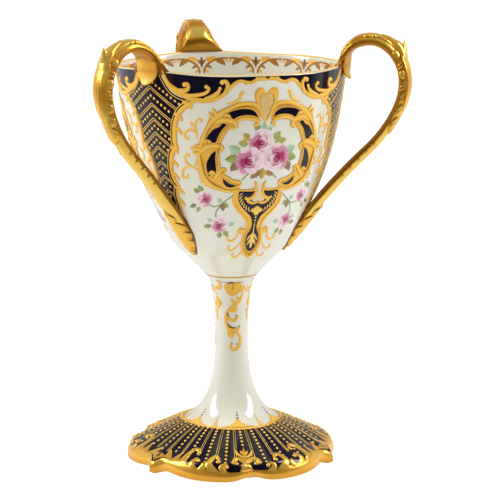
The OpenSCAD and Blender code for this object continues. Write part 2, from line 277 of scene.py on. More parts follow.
class FootTop:
    """The foot's upper side. Flat x is the length round it at one radius, flat y the length up it."""

    ROUND, DOME, LIP = 45.0, 25.0, 10.0
    # Steps down and round the foot that its slope is taken over
    STEP_DOWN, STEP_ROUND = 0.01, 0.2

    @classmethod
    def down(cls, s):
        return np.where(s > 1, cls.DOME + cls.LIP * (s - 1), cls.DOME * s)

    @classmethod
    def widen(cls, angle, s):
        """How much wider a mark is drawn so that it comes out round."""
        return cls.ROUND / float(Foot(np.array([angle])).upper(np.array([s]))[0][0])

    @classmethod
    def flat(cls, points):
        """Flat points from degrees round the foot and shares down it."""
        p = np.asarray(points, float)
        return np.stack([np.radians(p[:, 0]) * cls.ROUND, -cls.down(p[:, 1])], 1)

    def __call__(self, flat, lift=0.0):
        flat = np.asarray(flat, float)
        angle = np.degrees(flat[:, 0] / self.ROUND)
        y = -flat[:, 1]
        s = np.where(y > self.DOME, 1 + (y - self.DOME) / self.LIP, y / self.DOME)
        out = self.point(angle, s + self.STEP_DOWN) - self.point(angle, s - self.STEP_DOWN)
        turn = self.point(angle + self.STEP_ROUND, s) - self.point(angle - self.STEP_ROUND, s)
        n = np.cross(out, turn)
        n /= np.maximum(np.linalg.norm(n, axis=1, keepdims=True), TINY)
        return self.point(angle, s) + np.asarray(lift, float).reshape(-1, 1) * n

    @staticmethod
    def point(angle, s):
        return hoop(angle, *Foot(angle).upper(s))


# Materials

def node(tree, kind, **values):
    made = tree.nodes.new(kind)
    for key, value in values.items():
        setattr(made, key, value)
    return made


def glossy(name, colour, roughness, metallic=0.0, coat=0.0):
    material = bpy.data.materials.new(name)
    material.use_nodes = True
    tree = material.node_tree
    shader = tree.nodes["Principled BSDF"]
    shader.inputs["Base Color"].default_value = (*colour, 1)
    shader.inputs["Roughness"].default_value = roughness
    shader.inputs["Metallic"].default_value = metallic
    shader.inputs["Coat Weight"].default_value = coat
    shader.inputs["Coat Roughness"].default_value = 0.03
    return material, tree, shader


def noise(tree, scale, detail=3.0):
    place = node(tree, "ShaderNodeTexCoord")
    made = node(tree, "ShaderNodeTexNoise")
    made.inputs["Scale"].default_value = scale
    made.inputs["Detail"].default_value = detail
    tree.links.new(place.outputs["Object"], made.inputs["Vector"])
    return made.outputs["Fac"]


def ramp(tree, source, stops):
    made = node(tree, "ShaderNodeValToRGB")
    band = made.color_ramp
    while len(band.elements) < len(stops):
        band.elements.new(0.5)
    for element, (at, colour) in zip(band.elements, stops):
        element.position = at
        element.color = (*colour, 1)
    tree.links.new(source, made.inputs["Fac"])
    return made.outputs["Color"]


def span(tree, source, low, high, from_low=0.0, from_high=1.0):
    made = node(tree, "ShaderNodeMapRange")
    for name, value in (("From Min", from_low), ("From Max", from_high), ("To Min", low), ("To Max", high)):
        made.inputs[name].default_value = value
    tree.links.new(source, made.inputs["Value"])
    return made.outputs["Result"]


def uneven(tree, shader, tone, gloss, waves):
    """Links a colour, a roughness that varies and faint waves.

    Gloss is a noise scale with the least and the most roughness, waves a noise scale, a depth and a strength.
    """
    gloss_scale, least, most = gloss
    wave_scale, depth, strength = waves
    tree.links.new(tone, shader.inputs["Base Color"])
    tree.links.new(span(tree, noise(tree, gloss_scale), least, most), shader.inputs["Roughness"])
    made = node(tree, "ShaderNodeBump")
    made.inputs["Strength"].default_value = strength
    made.inputs["Distance"].default_value = depth
    tree.links.new(noise(tree, wave_scale, 2.0), made.inputs["Height"])
    tree.links.new(made.outputs["Normal"], shader.inputs["Normal"])


def porcelain():
    material, tree, shader = glossy("porcelain_glaze", (0.8, 0.79, 0.73), 0.1, coat=0.6)
    tone = ramp(tree, noise(tree, 22.0), [(0.3, (0.77, 0.755, 0.63)), (0.7, (0.81, 0.795, 0.685))])
    uneven(tree, shader, tone, gloss=(60.0, 0.07, 0.15), waves=(70.0, 0.00025, 0.2))
    return material


def cobalt():
    material, tree, shader = glossy("cobalt_ground", (0.006, 0.005, 0.02), 0.08)
    tone = ramp(tree, noise(tree, 45.0), [(0.35, (0.0035, 0.003, 0.008)), (0.75, (0.011, 0.008, 0.026))])
    uneven(tree, shader, tone, gloss=(120.0, 0.05, 0.13), waves=(90.0, 0.0002, 0.3))
    return material


def gold(name, colour, roughness, metallic, stops, gloss, waves):
    """Gold that goes by the tone of its points, from painted shade, brown in the hollows, to painted
    highlight, pale on the crests.
    """
    material, tree, shader = glossy(name, colour, roughness, metallic)
    tone = node(tree, "ShaderNodeAttribute", attribute_name="tone").outputs["Fac"]
    uneven(tree, shader, ramp(tree, tone, stops), gloss, waves)
    return material


def burnished_gold():
    stops = [
        (0.0, (0.05, 0.02, 0.006)),
        (0.3, (0.7, 0.31, 0.025)),
        (0.6, (1.0, 0.51, 0.055)),
        (1.0, (1.0, 0.68, 0.14)),
    ]
    gloss, waves = (140.0, 0.16, 0.28), (240.0, 0.0002, 0.25)
    return gold("burnished_gold", (0.83, 0.5, 0.1), 0.25, 0.62, stops, gloss, waves)


def painted_gold():
    stops = [
        (0.0, (0.22, 0.075, 0.008)),
        (0.2, (0.6, 0.26, 0.022)),
        (0.55, (0.95, 0.5, 0.04)),
        (1.0, (1.0, 0.7, 0.15)),
    ]
    gloss, waves = (160.0, 0.3, 0.46), (400.0, 0.0001, 0.25)
    return gold("painted_gold", (0.86, 0.47, 0.06), 0.38, 0.14, stops, gloss, waves)


def enamel():
    material, tree, shader = glossy("painted_enamel", (0.8, 0.79, 0.73), 0.12, coat=0.6)
    paint = node(tree, "ShaderNodeAttribute", attribute_name="paint").outputs["Color"]
    uneven(tree, shader, paint, gloss=(60.0, 0.08, 0.16), waves=(70.0, 0.00025, 0.2))
    return material


PORCELAIN = porcelain()
COBALT = cobalt()
GOLD = burnished_gold()
GILDING = painted_gold()
ENAMEL = enamel()


# Pieces

def add_piece(name, points, faces, materials, replaces=(), indices=None, tone=None, paint=None):
    mesh = bpy.data.meshes.new(name)
    mesh.from_pydata((np.asarray(points) * MM).tolist(), [], [list(map(int, f)) for f in faces])
    for material in materials:
        mesh.materials.append(material)
    if indices is not None:
        mesh.polygons.foreach_set("material_index", np.asarray(indices, np.int32))
    if tone is not None:
        layer = mesh.attributes.new("tone", "FLOAT", "POINT")
        layer.data.foreach_set("value", np.asarray(tone, np.float32))
    if paint is not None:
        layer = mesh.attributes.new("paint", "FLOAT_COLOR", "POINT")
        rgba = np.c_[paint, np.ones(len(paint))]
        layer.data.foreach_set("color", rgba.astype(np.float32).ravel())
    mesh.shade_smooth()
    mesh.update()
    made = bpy.data.objects.new(name, mesh)
    bpy.context.scene.collection.objects.link(made)
    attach(made, "root")
    if replaces:
        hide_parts(*replaces)


def grid_faces(rows, columns, wrap=True, start=0):
    """Quads of a grid of points whose rows may close on themselves."""
    i, j = np.meshgrid(np.arange(rows - 1), np.arange(columns if wrap else columns - 1), indexing="ij")
    k = (j + 1) % columns
    quads = np.stack([i * columns + j, i * columns + k, (i + 1) * columns + k, (i + 1) * columns + j], -1)
    return quads.reshape(-1, 4) + start


def turned(line, angles):
    """Points of a line turned about the axis, row by row."""
    return np.vstack([hoop(angles, r, z) for r, z in line])


OUTER_WALL = Wall(BOWL_LINE, 0)
LIP_R = BOWL_WALL / 2
# A turned piece closes at a radius just off the axis
AXIS_R = 0.01
# Above this height the bowl's wall takes up the wave of the rim
WAVE_Z = 150.0


def make_bowl():
    angles = full_turn(288)
    wave = rim_height(angles) - RIM_Z
    inner = Wall(INNER_WALL, 0)
    boss_r = STEM_BORE_R - BOSS_GAP
    low = INNER_FLOOR + 6

    def wall_rows(wall, heights):
        for z in heights:
            height = z + np.clip((z - WAVE_Z) / (RIM_Z - WAVE_Z), 0, 1) * wave
            yield hoop(angles, wall.radius(height), height)

    foot = [(AXIS_R, BASE_Z - BOSS_L), (boss_r, BASE_Z - BOSS_L), (boss_r, BASE_Z), (BASE_R, BASE_Z)]
    rows = [hoop(angles, r, z) for r, z in foot]
    rows += wall_rows(OUTER_WALL, np.linspace(BASE_Z + 0.4, WAVE_Z, 40))
    rows += wall_rows(OUTER_WALL, np.linspace(WAVE_Z + 1, RIM_Z - LIP_R, 32))
    top = RIM_Z + wave - LIP_R
    centre = OUTER_WALL.radius(top) - LIP_R
    for turn in np.linspace(0, np.pi, 9)[1:-1]:
        rows.append(hoop(angles, centre + LIP_R * np.cos(turn), top + LIP_R * np.sin(turn)))
    rows += wall_rows(inner, np.linspace(RIM_Z - LIP_R, WAVE_Z + 1, 24))
    rows += wall_rows(inner, np.linspace(WAVE_Z, low, 30))
    for r, z in INNER_LINE[INNER_LINE[:, 1] < low - 0.5][::-1]:
        rows.append(hoop(angles, max(r, AXIS_R), z))
    faces = grid_faces(len(rows), len(angles))
    add_piece("bowl_porcelain", np.vstack(rows), faces, [PORCELAIN], ["bowl"])


def make_stem():
    bottom, bevel = FLARE_Z - FLARE_T, 0.3
    seat = np.array([FLARE_R - FLARE_SEAT, bottom])
    bore = bezier([[STEM_BORE_R, WAIST_Z], [STEM_BORE_R, WAIST_LOW], seat - FLARE_ARM, seat], 20)
    bore_top = [[STEM_BORE_R, STEM_TOP]]
    edge = [[FLARE_R - bevel, bottom], [FLARE_R, bottom + bevel]]
    line = np.vstack([bore_top, bore, edge, STEM_LINE, bore_top])
    angles = full_turn(144)
    faces = grid_faces(len(line), len(angles))
    add_piece("stem_porcelain", turned(line, angles), faces, [PORCELAIN], ["stem"])


# The foot's cobalt ends at one share down it by a notch and at another away from it,
# and goes from one to the other between two angles from the notch
NOTCH_COBALT, SIDE_COBALT = 1.62, 1
COBALT_FROM, COBALT_TO = 30, 44
# Mark of the rows of the foot that are white
WHITE_ROW = -1
# The gold of the foot: its tone, and the heights between which painted shade darkens it towards the table
FOOT_TONE, DARK_Z, CLEAR_Z = 0.65, 1.5, 6.5
STAND_Z = 9.0


def foot_materials(angles, shares):
    """Cobalt (0) above, gold (1) along the edge and white (2) below; the cobalt comes down by the notch."""
    off = np.abs(third(angles + 180 / len(angles), FOOT_NOTCH))
    limit = NOTCH_COBALT - (NOTCH_COBALT - SIDE_COBALT) * eased(off, COBALT_FROM, COBALT_TO)
    white = np.full(len(angles), 2)
    return np.concatenate([white if s == WHITE_ROW else np.where(s > limit, 1, 0) for s in shares[:-1]])


def painted_low_shade(height):
    """Painted shade: how the gold of the foot darkens towards the table."""
    return 0.5 + 0.5 * eased(height, DARK_Z, CLEAR_Z)


def make_foot():
    angles = full_turn(480)
    foot = Foot(angles)
    recess_z = FLARE_Z - FLARE_T - SLIP_T
    hole = FLARE_R - FLARE_SEAT
    hole_low = (hole, recess_z - FOOT_WALL, WHITE_ROW)
    rows = [hole_low, (hole, recess_z, WHITE_ROW), (FLARE_R + RECESS_GAP, recess_z, WHITE_ROW)]
    for s in np.r_[np.linspace(0, 1, 40), np.linspace(1, 2, 22)[1:]]:
        rows.append((*foot.upper(s), s))
    rows.append((foot.outline - 1.6, foot.lift + 0.3, 2))
    for s in np.linspace(1, 0.2, 24):
        r, z = foot.upper(s)
        rows.append((r - 0.25 * FOOT_WALL, z - FOOT_WALL, WHITE_ROW))
    rows.append(hole_low)
    points = np.vstack([hoop(angles, r, z) for r, z, share in rows])
    faces = grid_faces(len(rows), len(angles))
    indices = foot_materials(angles, [share for r, z, share in rows])

    stand = [(RING_R - RING_W, STAND_Z), (RING_R - RING_W, 0), (RING_R, 0), (RING_R, STAND_Z)]
    faces = np.vstack([faces, grid_faces(len(stand), len(angles), start=len(points))])
    points = np.vstack([points, turned(stand, angles)])
    indices = np.r_[indices, np.full((len(stand) - 1) * len(angles), 2)]
    # Painted shade: the foot's gold darkens towards the table
    tone = FOOT_TONE * painted_low_shade(points[:, 2])
    glazes = [COBALT, GOLD, PORCELAIN]
    add_piece("foot_cobalt", points, faces, glazes, ["foot"], indices, tone)


# Drawing on a surface: strokes, beads and filled shapes, gathered into one piece

class Batch:
    """Points, faces and tones of many marks."""

    def __init__(self):
        self.points, self.faces, self.tones, self.count = [], [], [], 0

    def add(self, points, faces, tones):
        self.points.append(points)
        self.faces += [[int(k) + self.count for k in f] for f in faces]
        self.tones.append(np.broadcast_to(tones, len(points)))
        self.count += len(points)

    def paint_low_shade(self):
        """Darkens what lies near the table with painted shade."""
        self.tones = [tone * painted_low_shade(p[:, 2]) for p, tone in zip(self.points, self.tones)]

    def piece(self, name, material, slot):
        tone = np.concatenate(self.tones)
        add_piece(name, np.vstack(self.points), self.faces, [material], tone=tone)


# Across a stroke: where its points lie and how high they stand
ACROSS = np.array([1.0, 0.78, 0.42, 0.0, -0.42, -0.78, -1.0])
DOME = np.array([0.0, 0.58, 0.9, 1.0, 0.9, 0.58, 0.0])
# How deep a stroke's edges sink below its lift
SINK = 0.06
# Lift of cobalt, and of fine lines, over gilding
OVER_GOLD, OVER_GROUND = 0.12, 0.14
# Tones from the edge of a mark to its crest. Where the crest is paler, the edge is painted shade and the
# crest a painted highlight
PLAIN, LIT, BRIGHT, SOFT = (0.2, 0.72), (0.6, 0.98), (0.7, 1.0), (0.25, 0.85)
DARK, LATTICE = (0.0, 0.05), (0.3, 0.8)


def along(values, share):
    """A value by its share of a line: one number, or numbers spread evenly from end to end."""
    values = np.atleast_1d(np.asarray(values, float))
    return np.interp(share, np.linspace(0, 1, len(values)), values)


def stroke(batch, surface, points, width, height, tone, step=0.4, lift=0.03, ready=False):
    """A raised line with rounded ends. Width, height and lift may change along it.

    A line that is ready has its points as they are, and isn't smoothed.
    """
    line = np.asarray(points, float) if ready else smooth(points, step)
    run = run_along(line)
    share = run / run[-1]
    half = along(width, share) / 2
    near_end = np.minimum(run, run[-1] - run)
    cap = np.clip(near_end / np.maximum(half, 0.05), 0.05, 1)
    half = half * np.sqrt(1 - (1 - cap) ** 2)
    tall = along(height, share) * np.minimum(half / max(half.max(), TINY) + 0.25, 1)
    base = along(lift, share) - SINK
    side = normals(line)
    rows = []
    for across, dome in zip(ACROSS, DOME):
        rows.append(surface(line + side * (half * across)[:, None], base + (tall + SINK) * dome))
    # Painted shade and highlight: the tone runs from the stroke's edges up to its crest
    shade = np.tile(tone[0] + (tone[1] - tone[0]) * DOME ** 1.5, len(line))
    batch.add(np.stack(rows, 1).reshape(-1, 3), grid_faces(len(line), len(ACROSS), wrap=False), shade)


def bead(batch, surface, place, radius, height, tone, stretch=(1.0, 1.0), lift=0.02):
    """A raised dot."""
    around = 12
    shares, rises = [1.0, 0.8, 0.45], [0.0, 0.6, 0.92]
    turns = np.linspace(0, 2 * np.pi, around, endpoint=False)
    ring = np.stack([np.cos(turns) * stretch[0], np.sin(turns) * stretch[1]], 1) * radius
    place = np.asarray(place, float)
    rows = [surface(place + ring * s, np.full(around, lift + height * h)) for s, h in zip(shares, rises)]
    top = surface(place[None, :], np.full(1, lift + height))
    last = (len(rows) - 1) * around
    cap = [[last + k, last + (k + 1) % around, last + around] for k in range(around)]
    # Painted shade round the bead's foot and painted highlight on its top
    shade = np.r_[np.repeat([tone[0], (tone[0] + tone[1]) / 2, tone[1]], around), tone[1]]
    batch.add(np.vstack(rows + [top]), grid_faces(len(rows), around).tolist() + cap, shade)


def inside(points, outline):
    """Which points lie inside a closed outline."""
    x, y = points[:, 0], points[:, 1]
    hit = np.zeros(len(points), bool)
    for a, b in zip(outline, np.roll(outline, -1, axis=0)):
        crosses = (a[1] > y) != (b[1] > y)
        reach = a[0] + (y - a[1]) * (b[0] - a[0]) / (b[1] - a[1] if b[1] != a[1] else TINY)
        hit ^= crosses & (x < reach)
    return hit


def edge_distance(points, line):
    """How far each point is from a line."""
    near = np.full(len(points), np.inf)
    for a, b in zip(line, line[1:]):
        d = b - a
        t = np.clip((points - a) @ d / max(d @ d, TINY), 0, 1)
        near = np.minimum(near, np.hypot(*(points - a - t[:, None] * d).T))
    return near


def patch(batch, surface, outline, lift, step=1.0, tone=0.6, swell=0.0, reach=1.5, edge=None):
    """A filled shape that lies on the surface. It may swell away from its edge, over a reach, and is then
    darkened towards the edge with painted shade.
    """
    outline = np.asarray(outline, float)
    low, high = outline.min(0), outline.max(0)
    xs, ys = np.meshgrid(np.arange(low[0], high[0], step), np.arange(low[1], high[1], step))
    field = np.stack([xs.ravel(), ys.ravel()], 1)
    points = np.vstack([outline, field[inside(field, outline)]])
    count = len(outline)
    edges = [(k, (k + 1) % count) for k in range(count)]
    flat, _, faces, *_ = delaunay_2d_cdt([Vector(p) for p in points], edges, [], 1, 1e-5)
    flat = np.array([tuple(p) for p in flat])
    height = np.full(len(flat), lift)
    if swell:
        near = edge_distance(flat, outline if edge is None else edge)
        rise = np.sin(np.pi / 2 * np.clip(near / reach, 0, 1))
        height = height + swell * rise
        # Painted shade: the tone darkens where the swelling falls to the edge
        tone = tone * (0.35 + 0.65 * rise)
    batch.add(surface(flat, height), faces, tone)


def mirrored(points, side):
    return np.asarray(points, float) * [side, 1]


def both_sides(half):
    """A closed outline from half of it, which starts and ends on the middle or is joined across it."""
    half = smooth(half, 0.5)
    return np.vstack([half, mirrored(half, -1)[::-1]])


def closed(points):
    return smooth(list(points) + [points[0]], 0.5)[:-1]


class Pen:
    """Draws one half of a design on a surface: as given with side 1, mirrored with side -1."""

    def __init__(self, batch, surface, side=1):
        self.batch, self.surface, self.side = batch, surface, side

    def stroke(self, line, *look, **more):
        stroke(self.batch, self.surface, mirrored(line, self.side), *look, **more)

    def strokes(self, shapes, height, tone, step=0.3, lift=0.03, weight=1.0):
        """Lines, each with its widths, which are taken times a weight."""
        for line, width in shapes:
            self.stroke(line, np.multiply(width, weight), height, tone, step, lift)

    def bead(self, place, *look, **more):
        bead(self.batch, self.surface, mirrored(place, self.side), *look, **more)

    def outline(self, points, width, height, lift=0.03):
        loop = closed(points)
        self.stroke(np.vstack([loop, loop[:2]]), width, height, PLAIN, lift=lift, ready=True)

    def band(self, inner, outer, lift, tone, dome=0.0):
        """A band between two lines that run the same way, the second to the left of the first."""
        columns, count = 9, max(len(inner), len(outer))
        share = np.linspace(0, 1, count)
        lines = [mirrored(line, self.side) for line in (inner, outer)[::self.side]]
        one, other = [read(share, np.linspace(0, 1, len(line)), line) for line in lines]
        rows = []
        for t in np.linspace(1, 0, columns):
            height = np.full(count, lift + dome * math.sin(math.pi * t))
            rows.append(self.surface(one + (other - one) * t, height))
        # Painted shade at both edges of the band and painted highlight along its middle
        shade = tone[0] + (tone[1] - tone[0]) * np.sin(np.pi * np.linspace(0, 1, columns))
        faces = grid_faces(count, columns, wrap=False)
        self.batch.add(np.stack(rows, 1).reshape(-1, 3), faces, np.tile(shade, count))

    def volutes(self, shapes, height, lift):
        """Scrolls, each with a bead at its end where it has a radius."""
        for line, width, end in shapes:
            self.stroke(line, width, height, (0.1, 0.8), 0.35, lift)
            if end:
                self.bead(line[-1], end, height + 0.1, (0.15, 0.85), lift=lift)


def both_pens(batch, surface):
    return [Pen(batch, surface, side) for side in (1, -1)]


# Handles: drawn once in a plane through the axis, then turned to their places

ROOT = np.array([RIM_R - LIP_R, RIM_Z - 1])
ARCH = np.array([RIM_R + ARCH_OUT, RIM_Z + ARCH_RISE])
ELBOW = np.array([RIM_R + REACH, RIM_Z - REACH_DROP])
LOWER_ARM = ELBOW - [16.7, 32.0]
LEAF_Z = BASE_Z + LEAF_UP
NECK_W, ARM_W = GRIP_W * 1.18, GRIP_W * 0.77


def off_wall(z, gap):
    return np.array([OUTER_WALL.radius(z) + gap, z])


def table(scale, *pairs):
    """Values by the share of a line, each times a scale."""
    return np.array(pairs, float) * [1, scale]


class Bar:
    """A moulded bar along a line.

    Flat x runs round its section from the ridge of the outer face,
    flat y runs back along the line from its start.
    """

    # Half a section from its ridge to the middle of its back, by half width and by thickness
    SECTION = np.array([
        [0, 0.5], [0.3, 0.475], [0.52, 0.39], [0.62, 0.31], [0.84, 0.14], [0.96, 0.02], [1, -0.1],
        [0.97, -0.24], [0.87, -0.38], [0.7, -0.46], [0.5, -0.48], [0.25, -0.44], [0, -0.4],
    ])
    OVAL = np.array([[0, 0.5], [0.5, 0.433], [0.866, 0.25], [1, 0], [0.866, -0.25], [0.5, -0.433], [0, -0.5]])
    # The size that a section is smoothed at, and the step that its slope is taken over
    DRAWN, STEP = np.array([5.5, 6.0]), 0.02

    def __init__(self, line, widths, thicknesses, section=SECTION):
        self.line = np.asarray(line, float)
        self.side = normals(self.line)
        self.run = run_along(self.line)
        share = np.linspace(0, 1, len(self.line))
        self.widths = np.interp(share, widths[:, 0], widths[:, 1])
        self.thicknesses = np.interp(share, thicknesses[:, 0], thicknesses[:, 1])
        half = smooth(section * self.DRAWN, 0.15)
        reach = run_along(half)
        self.reach = reach / reach[-1]
        self.half = half / self.DRAWN

    def distance(self, share):
        return np.interp(share, np.linspace(0, 1, len(self.run)), self.run)

    def size(self, run):
        """Half the width, and the thickness, at a distance along."""
        return np.interp(run, self.run, self.widths) / 2, np.interp(run, self.run, self.thicknesses)

    def at(self, run, turn, lift=0.0):
        """The point a distance along and a share of half the section round."""
        line, side = [read(run, self.run, rows) for rows in (self.line, self.side)]
        side /= np.linalg.norm(side, axis=1, keepdims=True)
        w, t = self.size(run)
        sign = np.where(turn < 0, -1.0, 1.0)
        place = np.abs(turn)
        y, s = read(place, self.reach, self.half).T
        ahead, behind = [read(place + step, self.reach, self.half) for step in (self.STEP, -self.STEP)]
        dy, ds = (ahead - behind).T
        ny, ns = -ds * t, dy * w
        length = np.maximum(np.hypot(ny, ns), TINY)
        y = sign * (y * w + lift * ny / length)
        s = s * t + lift * ns / length
        bend = y * y / (2 * np.maximum(line[:, 0], LEAF_W))
        return np.stack([line[:, 0] + side[:, 0] * s - bend, y, line[:, 1] + side[:, 1] * s], 1)

    def half_round(self, run):
        """The length of half the section at a distance along."""
        w, t = self.size(run)
        steps = np.diff(self.half, axis=0)
        return np.hypot(np.outer(w, steps[:, 0]), np.outer(t, steps[:, 1])).sum(1)

    def __call__(self, flat, lift=0.0):
        flat = np.asarray(flat, float)
        run = np.clip(-flat[:, 1], 0, self.run[-1])
        turn = np.clip(flat[:, 0] / self.half_round(run), -1, 1)
        return self.at(run, turn, np.broadcast_to(lift, run.shape))

    def body(self, batch, around=44, sides=((0, 0.6),), faces=((0, 0.9),)):
        """The bar itself. The tones of its sides and its outer face go by the share of its line, and paint
        shade, highlight and reflection on the gold.
        """
        turns = np.linspace(1, -1, around, endpoint=False)
        rows = [self.at(np.full(around, d), turns) for d in self.run]
        points = np.vstack(rows)
        quads = grid_faces(len(rows), around).tolist()
        last = (len(rows) - 1) * around
        quads.append(list(range(around - 1, -1, -1)))
        quads.append([last + k for k in range(around)])
        # The sides take darker tones than the outer face: painted shade
        share = np.interp(np.abs(turns), [0, 0.3, 0.4, 0.46], [1, 1, 0.9, 0])
        down = np.linspace(0, 1, len(rows))
        side, face = [np.interp(down, *np.transpose(tones))[:, None] for tones in (sides, faces)]
        batch.add(points, quads, (side + (face - side) * share).ravel())


def handle_bars():
    # The main bar, from the rim over the arch and the elbow down to the lower leaf
    lean_down = lean(45.8)
    leaf_top, leaf_tip = off_wall(LEAF_Z + LEAF_L, 0.6), off_wall(LEAF_Z, 0.6)
    line = chain(
        bezier([ROOT, ROOT + [0, 8.6], ARCH - [7.4, 0], ARCH], 40),
        bezier([ARCH, ARCH + [9.4, 0], ELBOW + [0, 10.5], ELBOW], 40),
        bezier([ELBOW, ELBOW - [0, 11], LOWER_ARM + 12 * lean_down, LOWER_ARM], 40),
        bezier([LOWER_ARM, LOWER_ARM - 15 * lean_down, leaf_top, leaf_tip], 80),
    )
    widths = table(
        1, (0, ROOT_W), (0.02, ROOT_W * 0.82), (0.04, ROOT_W * 0.66), (0.07, NECK_W * 1.1), (0.11, NECK_W),
        (0.2, GRIP_W * 0.94), (0.36, GRIP_W * 0.86), (0.46, GRIP_W * 0.8), (0.6, ARM_W * 0.9),
        (0.78, ARM_W * 0.92), (0.84, LEAF_W * 0.7), (0.93, LEAF_W * 0.74), (0.97, LEAF_W * 0.6),
        (0.985, LEAF_W * 0.42), (1, LEAF_W * 0.2),
    )
    thicknesses = table(
        0.95, (0, 2.2), (0.03, 2.4), (0.06, GRIP_T * 0.75), (0.16, GRIP_T), (0.26, GRIP_T * 0.96),
        (0.36, GRIP_T * 0.72), (0.46, GRIP_T * 0.72), (0.62, GRIP_T * 0.81),
        (0.8, GRIP_T * 0.84), (0.93, GRIP_T * 0.72), (1, GRIP_T * 0.25),
    )
    main = Bar(line, widths, thicknesses)

    # The leaf on the outer face, from a spur above the elbow
    first, last = 66, 100
    face = main.line + main.side * (GRIP_T / 2 - 0.55)
    spur = np.array([ELBOW[0], face[first][1] + SPUR_H + 2.2])
    crown = [spur, spur - [0.1, 2.4], spur - [0, 5.2]]
    leaf = Bar(
        smooth(crown + list(face[first:last:4]), 0.6),
        table(GRIP_W, (0, 0.09), (0.12, 0.4), (0.22, 0.8), (0.5, 0.84), (0.75, 0.7), (0.92, 0.4), (1, 0.08)),
        table(1, (0, 0.7), (0.06, 1.6), (0.14, 2.4), (0.28, 2.1), (0.8, 1.8), (1, 0.6)),
    )
    # The fuller shoulder between the arch and the elbow
    rows = slice(46, 71)
    shoulder = Bar(
        main.line[rows] + main.side[rows] * 3,
        table(GRIP_W, (0, 0.2), (0.33, 0.46), (0.5, 0.6), (0.75, 0.66), (1, 0.5)),
        table(1, (0, 0.6), (0.33, 2.6), (0.46, 4.4), (0.58, 4.6), (0.72, 3.4), (0.86, 2), (1, 0.6)),
        Bar.OVAL,
    )

    # The tongue that hangs over the rim
    top = np.array([RIM_R + 1.8, RIM_Z + 9])
    tip = off_wall(RIM_Z - TONGUE_L * 0.62, 3.6)
    tongue = Bar(
        bezier([top, top - [0, TONGUE_L * 0.55], tip + [-3.6, TONGUE_L * 0.28], tip], 30),
        table(
            NECK_W,
            (0, 0.74), (0.25, 0.94), (0.5, 0.98), (0.7, 0.82), (0.85, 0.58), (0.95, 0.34), (1, 0.16),
        ),
        table(3.2, (0, 0.7), (0.4, 1), (0.65, 0.9), (0.9, 0.5), (1, 0.25)),
        Bar.OVAL,
    )
    return main, leaf, shoulder, tongue


# Tones of the veins of leaves and of the knobs and nibs on the shoulder. The knobs and nibs go from painted
# shade in the gaps at their feet to a painted highlight on top
VEIN, KNOB = (0.6, 0.95), (0.0, 0.95)
# A leaf's lobe, by shares of its reach and of the pitch of the lobes
LOBE = [(0.68, 0), (0.94, 0.3), (1, 0.6), (0.88, 0.86)]


def lobed_leaf(batch, bar, start, pitch, reaches, height):
    """A leaf that lies over a bar from a distance along it, with lobes down both its edges."""
    starts = [start + pitch * k for k in range(len(reaches))]
    end = start + pitch * len(reaches)
    half = [(0.05, start - 0.8 * pitch), (0.5 * reaches[0], start - 0.3 * pitch)]
    for d, reach in zip(starts, reaches):
        half += [(out * reach, d + down * pitch) for out, down in LOBE]
    half += [(0.5 * reaches[-1], end + 0.2 * pitch), (0.05, end + 0.5 * pitch)]
    half = smooth(half, 0.7) * [1, -1]
    half = half[half[:, 1] > -bar.run[-1]]
    patch(batch, bar, np.vstack([half, mirrored(half, -1)[::-1]])[::-1], 0.02, 0.9, 0.75, height, 1.8)
    rib = np.array([(0, start - 0.4 * pitch), (0, start + pitch), (0, end - 0.5 * pitch)]) * [1, -1]
    stroke(batch, bar, rib, [0.6, 1.4, 0.5], 0.3, VEIN, 0.6, height * 0.9)
    lift = [height * 0.9, height * 0.8, height * 0.4]
    for pen in both_pens(batch, bar):
        for d, reach in zip(starts, reaches):
            vein = [(out * reach, -d + up * pitch) for out, up in ((0.3, 0.2), (0.6, -0.2), (0.86, -0.5))]
            pen.stroke(vein, [0.6, 1.6, 1.2], [0.05, 0.25, 0.3], VEIN, 0.5, lift)


def handle_relief(batch, main, leaf):
    lobed_leaf(batch, main, main.distance(0.34), 6.4, (4.4, 5.6, 6.0, 5.6, 4.8), 0.8)
    lobed_leaf(batch, main, main.distance(1) - 27, 5.6, (3.0, 5.4, 6.6, 6.2), 0.7)
    cord_at = main.distance(np.array([0.03, 0.06, 0.1, 0.15, 0.2, 0.26, 0.31]))
    cord = np.stack([[9.4, 7.2, 5.2, 4.2, 3.8, 3.7, 3.2], -cord_at], 1)
    arch, shoulder, arm = main.distance(np.array([0.19, 0.31, 0.58]))
    for pen in both_pens(batch, main):
        # A raised cord from the root up over the arch, with beads
        pen.stroke(cord, [0.9, 1.3, 1.3, 1.1, 0.6], 0.5, SOFT, 0.5)
        for k, radius in enumerate((1.3, 1.0)):
            pen.bead((4.0, -arch - 3.0 * k), radius, 0.9, SOFT, (1.0, 1.3))
        # Knobs with nibs between them down the shoulder
        for down, radius in ((0, 2.0), (9.6, 2.1)):
            pen.bead((4.6, -shoulder - down), radius, 1.1, KNOB, (1.0, 1.2))
        for down in (4.2, 5.8, 14.6, 16.2):
            place = -shoulder - down
            pen.stroke([(3.4, place + 0.3), (4.8, place), (6.4, place - 0.8)], [0.7, 1.2, 0.8], 0.7, KNOB)
        # Beads along the edge of the lower arm
        for k in range(5):
            pen.bead((4.2, -arm - 5.4 * k), 1.2, 0.7, (0.1, 0.95), (0.8, 1.3))
    rib_at = leaf.distance(np.array([0.05, 0.3, 0.6, 0.95]))
    stroke(batch, leaf, np.stack([np.zeros(4), -rib_at], 1), [0.5, 0.9, 0.9, 0.4], 0.08, SOFT, 0.5)


